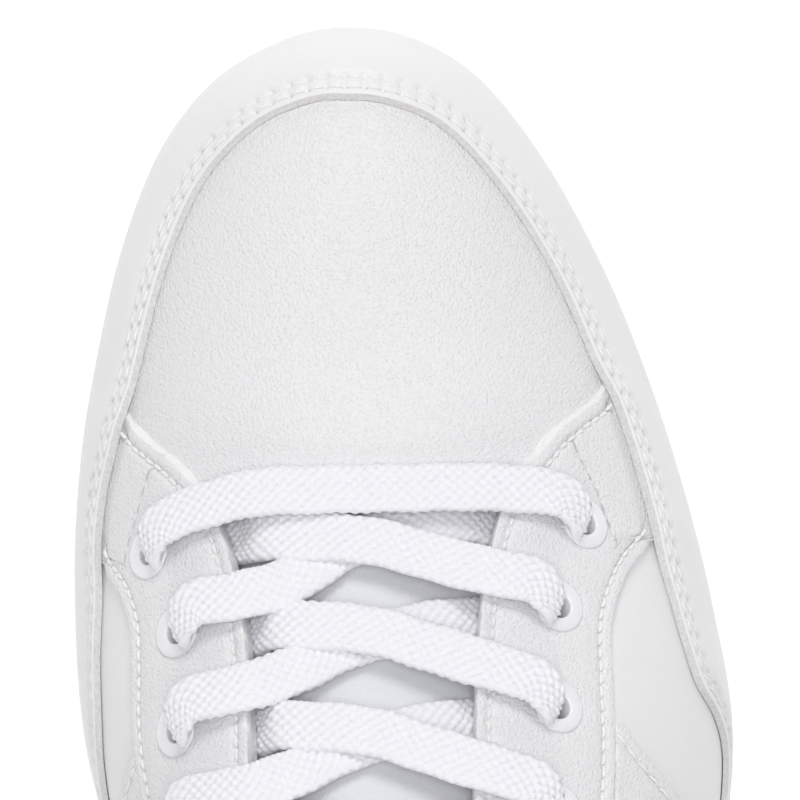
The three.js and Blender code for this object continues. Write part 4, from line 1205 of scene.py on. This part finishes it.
def centripetal(points, per_span):
    """A centripetal Catmull-Rom curve through the points. Returns its points and their span numbers."""
    p = np.concatenate([[2 * points[0] - points[1]], points, [2 * points[-1] - points[-2]]])
    out, span = [], []
    for i in range(1, len(p) - 2):
        p0, p1, p2, p3 = p[i - 1 : i + 3]
        k = [max(1e-4, np.linalg.norm(b - a) ** 0.5) for a, b in ((p0, p1), (p1, p2), (p2, p3))]
        t0, t1 = 0, k[0]
        t2, t3 = t1 + k[1], t1 + k[1] + k[2]
        count = max(2, int(math.ceil(np.linalg.norm(p2 - p1) / per_span)))
        for j in range(count):
            t = t1 + (t2 - t1) * j / count
            a1 = (t1 - t) / (t1 - t0) * p0 + (t - t0) / (t1 - t0) * p1
            a2 = (t2 - t) / (t2 - t1) * p1 + (t - t1) / (t2 - t1) * p2
            a3 = (t3 - t) / (t3 - t2) * p2 + (t - t2) / (t3 - t2) * p3
            b1 = (t2 - t) / (t2 - t0) * a1 + (t - t0) / (t2 - t0) * a2
            b2 = (t3 - t) / (t3 - t1) * a2 + (t - t1) / (t3 - t1) * a3
            out.append((t2 - t) / (t2 - t1) * b1 + (t - t1) / (t2 - t1) * b2)
            span.append(i - 1 + j / count)
    out.append(points[-1])
    span.append(len(points) - 1)
    return np.array(out), np.array(span)


BRAID_PITCH, BRAID_ROWS, BRAID_RISE = 1.75, 20, 0.66
LACE_STEP = 0.27
PINCHED_WIDTH, PINCHED_THICK = 3.24, 1.6  # the lace's section inside an eyelet
AGLET_LENGTH, AGLET_RADIUS = 22, 1.72


def braid_height(along_mm, row):
    """Height, 0 to 1, of a tubular braid: plump lozenges in brick rows, whose valleys run deeper one way."""
    slack = 0.03 * np.sin(row * 2.1 + along_mm * 0.7) + 0.03 * np.sin(along_mm * 1.9 - row)
    column = along_mm / BRAID_PITCH + slack
    rising, falling = column + 0.5 * row, column - 0.5 * row
    deep = np.abs(np.mod(rising, 1) * 2 - 1) ** 2.2
    shallow = np.abs(np.mod(falling, 1) * 2 - 1) ** 2.2
    return np.sqrt(np.clip(1 - deep, 0, 1)) * (1 - 0.55 * shallow)


def lace_ring(across_count, end_count):
    """One ring round a flat section: place along the flat, the direction outwards, and the row number."""
    flat = np.linspace(-1, 1, across_count)
    turn = np.linspace(90, -90, end_count + 2)[1:-1] * math.pi / 180
    top = [(b, 0, 1) for b in flat]
    right = [(1, math.cos(a), math.sin(a)) for a in turn]
    bottom = [(b, 0, -1) for b in flat[::-1]]
    left = [(-1, -math.cos(a), math.sin(a)) for a in turn[::-1]]
    ring = np.array(top + right + bottom + left)
    half, thick = LACE_WIDTH / 2, LACE_THICK / 2
    xy = np.stack([ring[:, 0] * (half - thick) + ring[:, 1] * thick, ring[:, 2] * thick], axis=1)
    run = lengths(np.concatenate([xy, xy[:1]]))
    return ring, run[:-1] / run[-1] * BRAID_ROWS


def build_lace():
    route = lace_route()
    points, span = centripetal(np.array([r[0] for r in route]), LACE_STEP)
    run = lengths(points)
    count = int(run[-1] / LACE_STEP)
    to = np.linspace(0, run[-1], count)
    centre = np.stack([np.interp(to, run, points[:, k]) for k in range(3)], axis=1)
    at = np.interp(to, run, span)
    i = np.minimum(len(route) - 2, np.floor(at).astype(int))
    t = (at - i)[:, None]
    side, pinches = np.array([r[1] for r in route]), np.array([[r[2]] for r in route])
    across = side[i] * (1 - t) + side[i + 1] * t
    tangent = unit(np.gradient(centre, axis=0))
    across = unit(across - tangent * (across * tangent).sum(1, keepdims=True))
    face = np.cross(across, tangent)
    pinch = np.clip(pinches[i] * (1 - t) + pinches[i + 1] * t, 0, 1)
    wide = LACE_WIDTH / 2 * (1 - pinch) + PINCHED_WIDTH / 2 * pinch
    thick = LACE_THICK / 2 * (1 - pinch) + PINCHED_THICK / 2 * pinch
    ring, row = lace_ring(31, 4)
    n = len(ring)
    flat, out_x, out_y = ring.T[:, None]
    height = braid_height(to[:, None], row[None])
    rise = BRAID_RISE * (1 - 0.4 * pinch) * (1 - 0.45 * np.abs(out_x)) * (height - 0.55)
    dome = 0.12 * thick * (1 - flat**2)
    fold = 0.3 * pinch * np.cos(flat * 7.0) * (1 - flat**2)
    x = flat * (wide - thick) + out_x * (thick + rise)
    y = out_y * (thick + dome + rise + fold)
    ripple = 0.08 * np.sin(to * 0.83)[:, None]
    verts = centre[:, None] + across[:, None] * (x + ripple)[..., None] + face[:, None] * y[..., None]
    obj = make_object("lace_braided", verts.reshape(-1, 3), tube_faces(count, n), [BRAID])
    settle(obj)
    # The strand height also sets the painted shade in the braid's valleys.
    heights = obj.data.attributes.new("strand_height", "FLOAT", "POINT")
    heights.data.foreach_set("value", height.astype(np.float32).ravel())
    uv = np.stack([np.repeat(to, n), np.tile(row, count)], axis=1)
    loops = np.zeros(len(obj.data.loops), np.int32)
    obj.data.loops.foreach_get("vertex_index", loops)
    obj.data.uv_layers.new(name="braid").data.foreach_set("uv", uv[loops].astype(np.float32).ravel())
    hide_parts("lace")
    tips = [build_aglet("aglet_medial", centre[0], -tangent[0]),
            build_aglet("aglet_lateral", centre[-1], tangent[-1])]


def build_aglet(node, start, direction):
    """A heat-shrunk film tip with a seam, crimped at its mouth."""
    up, rings, n = np.array([0, 0, 1.0]), 40, 20
    direction = unit(np.array([direction[0], direction[1], 0]))
    begin = start + direction * 0.2 + up * 0.85
    side = np.cross(up, direction)
    verts = []
    for k in range(rings):
        t = k / (rings - 1)
        crimps = [0.10 * math.exp(-((t - at) / width) ** 2) for at, width in ((0.08, 0.025), (0.93, 0.02))]
        radius = AGLET_RADIUS - 0.2 * t - crimps[0] - crimps[1]
        radius *= math.sqrt(max(0.05, 1 - max(0, (t - 0.975) / 0.026) ** 2))
        for w in np.arange(n) * 2 * math.pi / n:
            seam = 0.08 * math.exp(-((w - math.pi / 2) / 0.2) ** 2)
            around = side * math.cos(w) + up * math.sin(w)
            verts.append(begin + direction * AGLET_LENGTH * t + around * (radius + seam))
    obj = make_object(node + "_tip", np.array(verts), tube_faces(rings, n), [AGLET])
    settle(obj)
    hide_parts(node)
    return obj


# ---------- stage ----------
CAMERA_AT = (-0.0006, 0.0798, 1.1)
SENSOR, FRAME_WIDTH, FRAME_HEIGHT_Z = 36, 0.1216, 0.020
FLOOR_REACH, FLOOR_Z, FLOOR_GLOW = 4.0, -0.0002, 0.247
SKY, SKY_STRENGTH = (0.985, 0.985, 1.02, 1), 0.376
LIGHTS = {  # place, size and power of soft disks that face the shoe
    "overhead": ((0.0, 0.08, 1.6), 0.9, 8.86),
    "toe_side": ((0.0, 1.25, 1.05), 0.7, 8.4),
    "heel_side": ((0.0, -1.15, 1.0), 0.7, 4.43),
}


def place(name, data):
    obj = bpy.data.objects.new(name, data)
    bpy.context.scene.collection.objects.link(obj)
    return obj


def build_camera():
    data = bpy.data.cameras.new("camera")
    data.sensor_width = SENSOR
    data.lens = SENSOR * (CAMERA_AT[2] - FRAME_HEIGHT_Z) / FRAME_WIDTH
    data.clip_start, data.clip_end = 0.05, 10
    camera = place("camera", data)
    camera.location = CAMERA_AT
    bpy.context.scene.camera = camera


def build_floor():
    mesh, r = bpy.data.meshes.new("floor"), FLOOR_REACH
    corners = [(x, y, FLOOR_Z) for x, y in ((-r, -r), (r, -r), (r, r), (-r, r))]
    mesh.from_pydata(corners, [], [(0, 1, 2, 3)])
    floor = place("floor", mesh)
    ground = bpy.data.materials.new("floor_white")
    ground.use_nodes = True
    shader = ground.node_tree.nodes["Principled BSDF"]
    shader.inputs["Base Color"].default_value = (0.9, 0.9, 0.9, 1)
    shader.inputs["Roughness"].default_value = 0.9
    shader.inputs["Emission Color"].default_value = (1, 1, 1, 1)
    shader.inputs["Emission Strength"].default_value = FLOOR_GLOW
    mesh.materials.append(ground)


def build_lights():
    scene = bpy.context.scene
    scene.world = bpy.data.worlds.new("studio")
    scene.world.use_nodes = True
    sky = scene.world.node_tree.nodes["Background"]
    sky.inputs[0].default_value = SKY
    sky.inputs[1].default_value = SKY_STRENGTH
    for name, (at, size, power) in LIGHTS.items():
        light = bpy.data.lights.new(name, "AREA")
        light.shape, light.size, light.energy = "DISK", size, power
        obj = place(name, light)
        obj.location = at
        obj.rotation_euler = (Vector((0, 0.05, 0.04)) - Vector(at)).to_track_quat("-Z", "Y").to_euler()
    scene.view_settings.view_transform = "Standard"
    scene.view_settings.look = "None"
    scene.view_settings.exposure = 0.0
    scene.cycles.diffuse_bounces = 8


build_camera()
build_floor()
build_lights()
build_lace()
build_sole()
build_vamp()
build_mudguard()
for foot_side in (1, -1):
    build_quarter(foot_side)
    build_eyestay(foot_side)
    build_rear_overlay(foot_side)
build_heel()
build_heel_tab()
build_collar()
build_tongue()
build_eyelets()
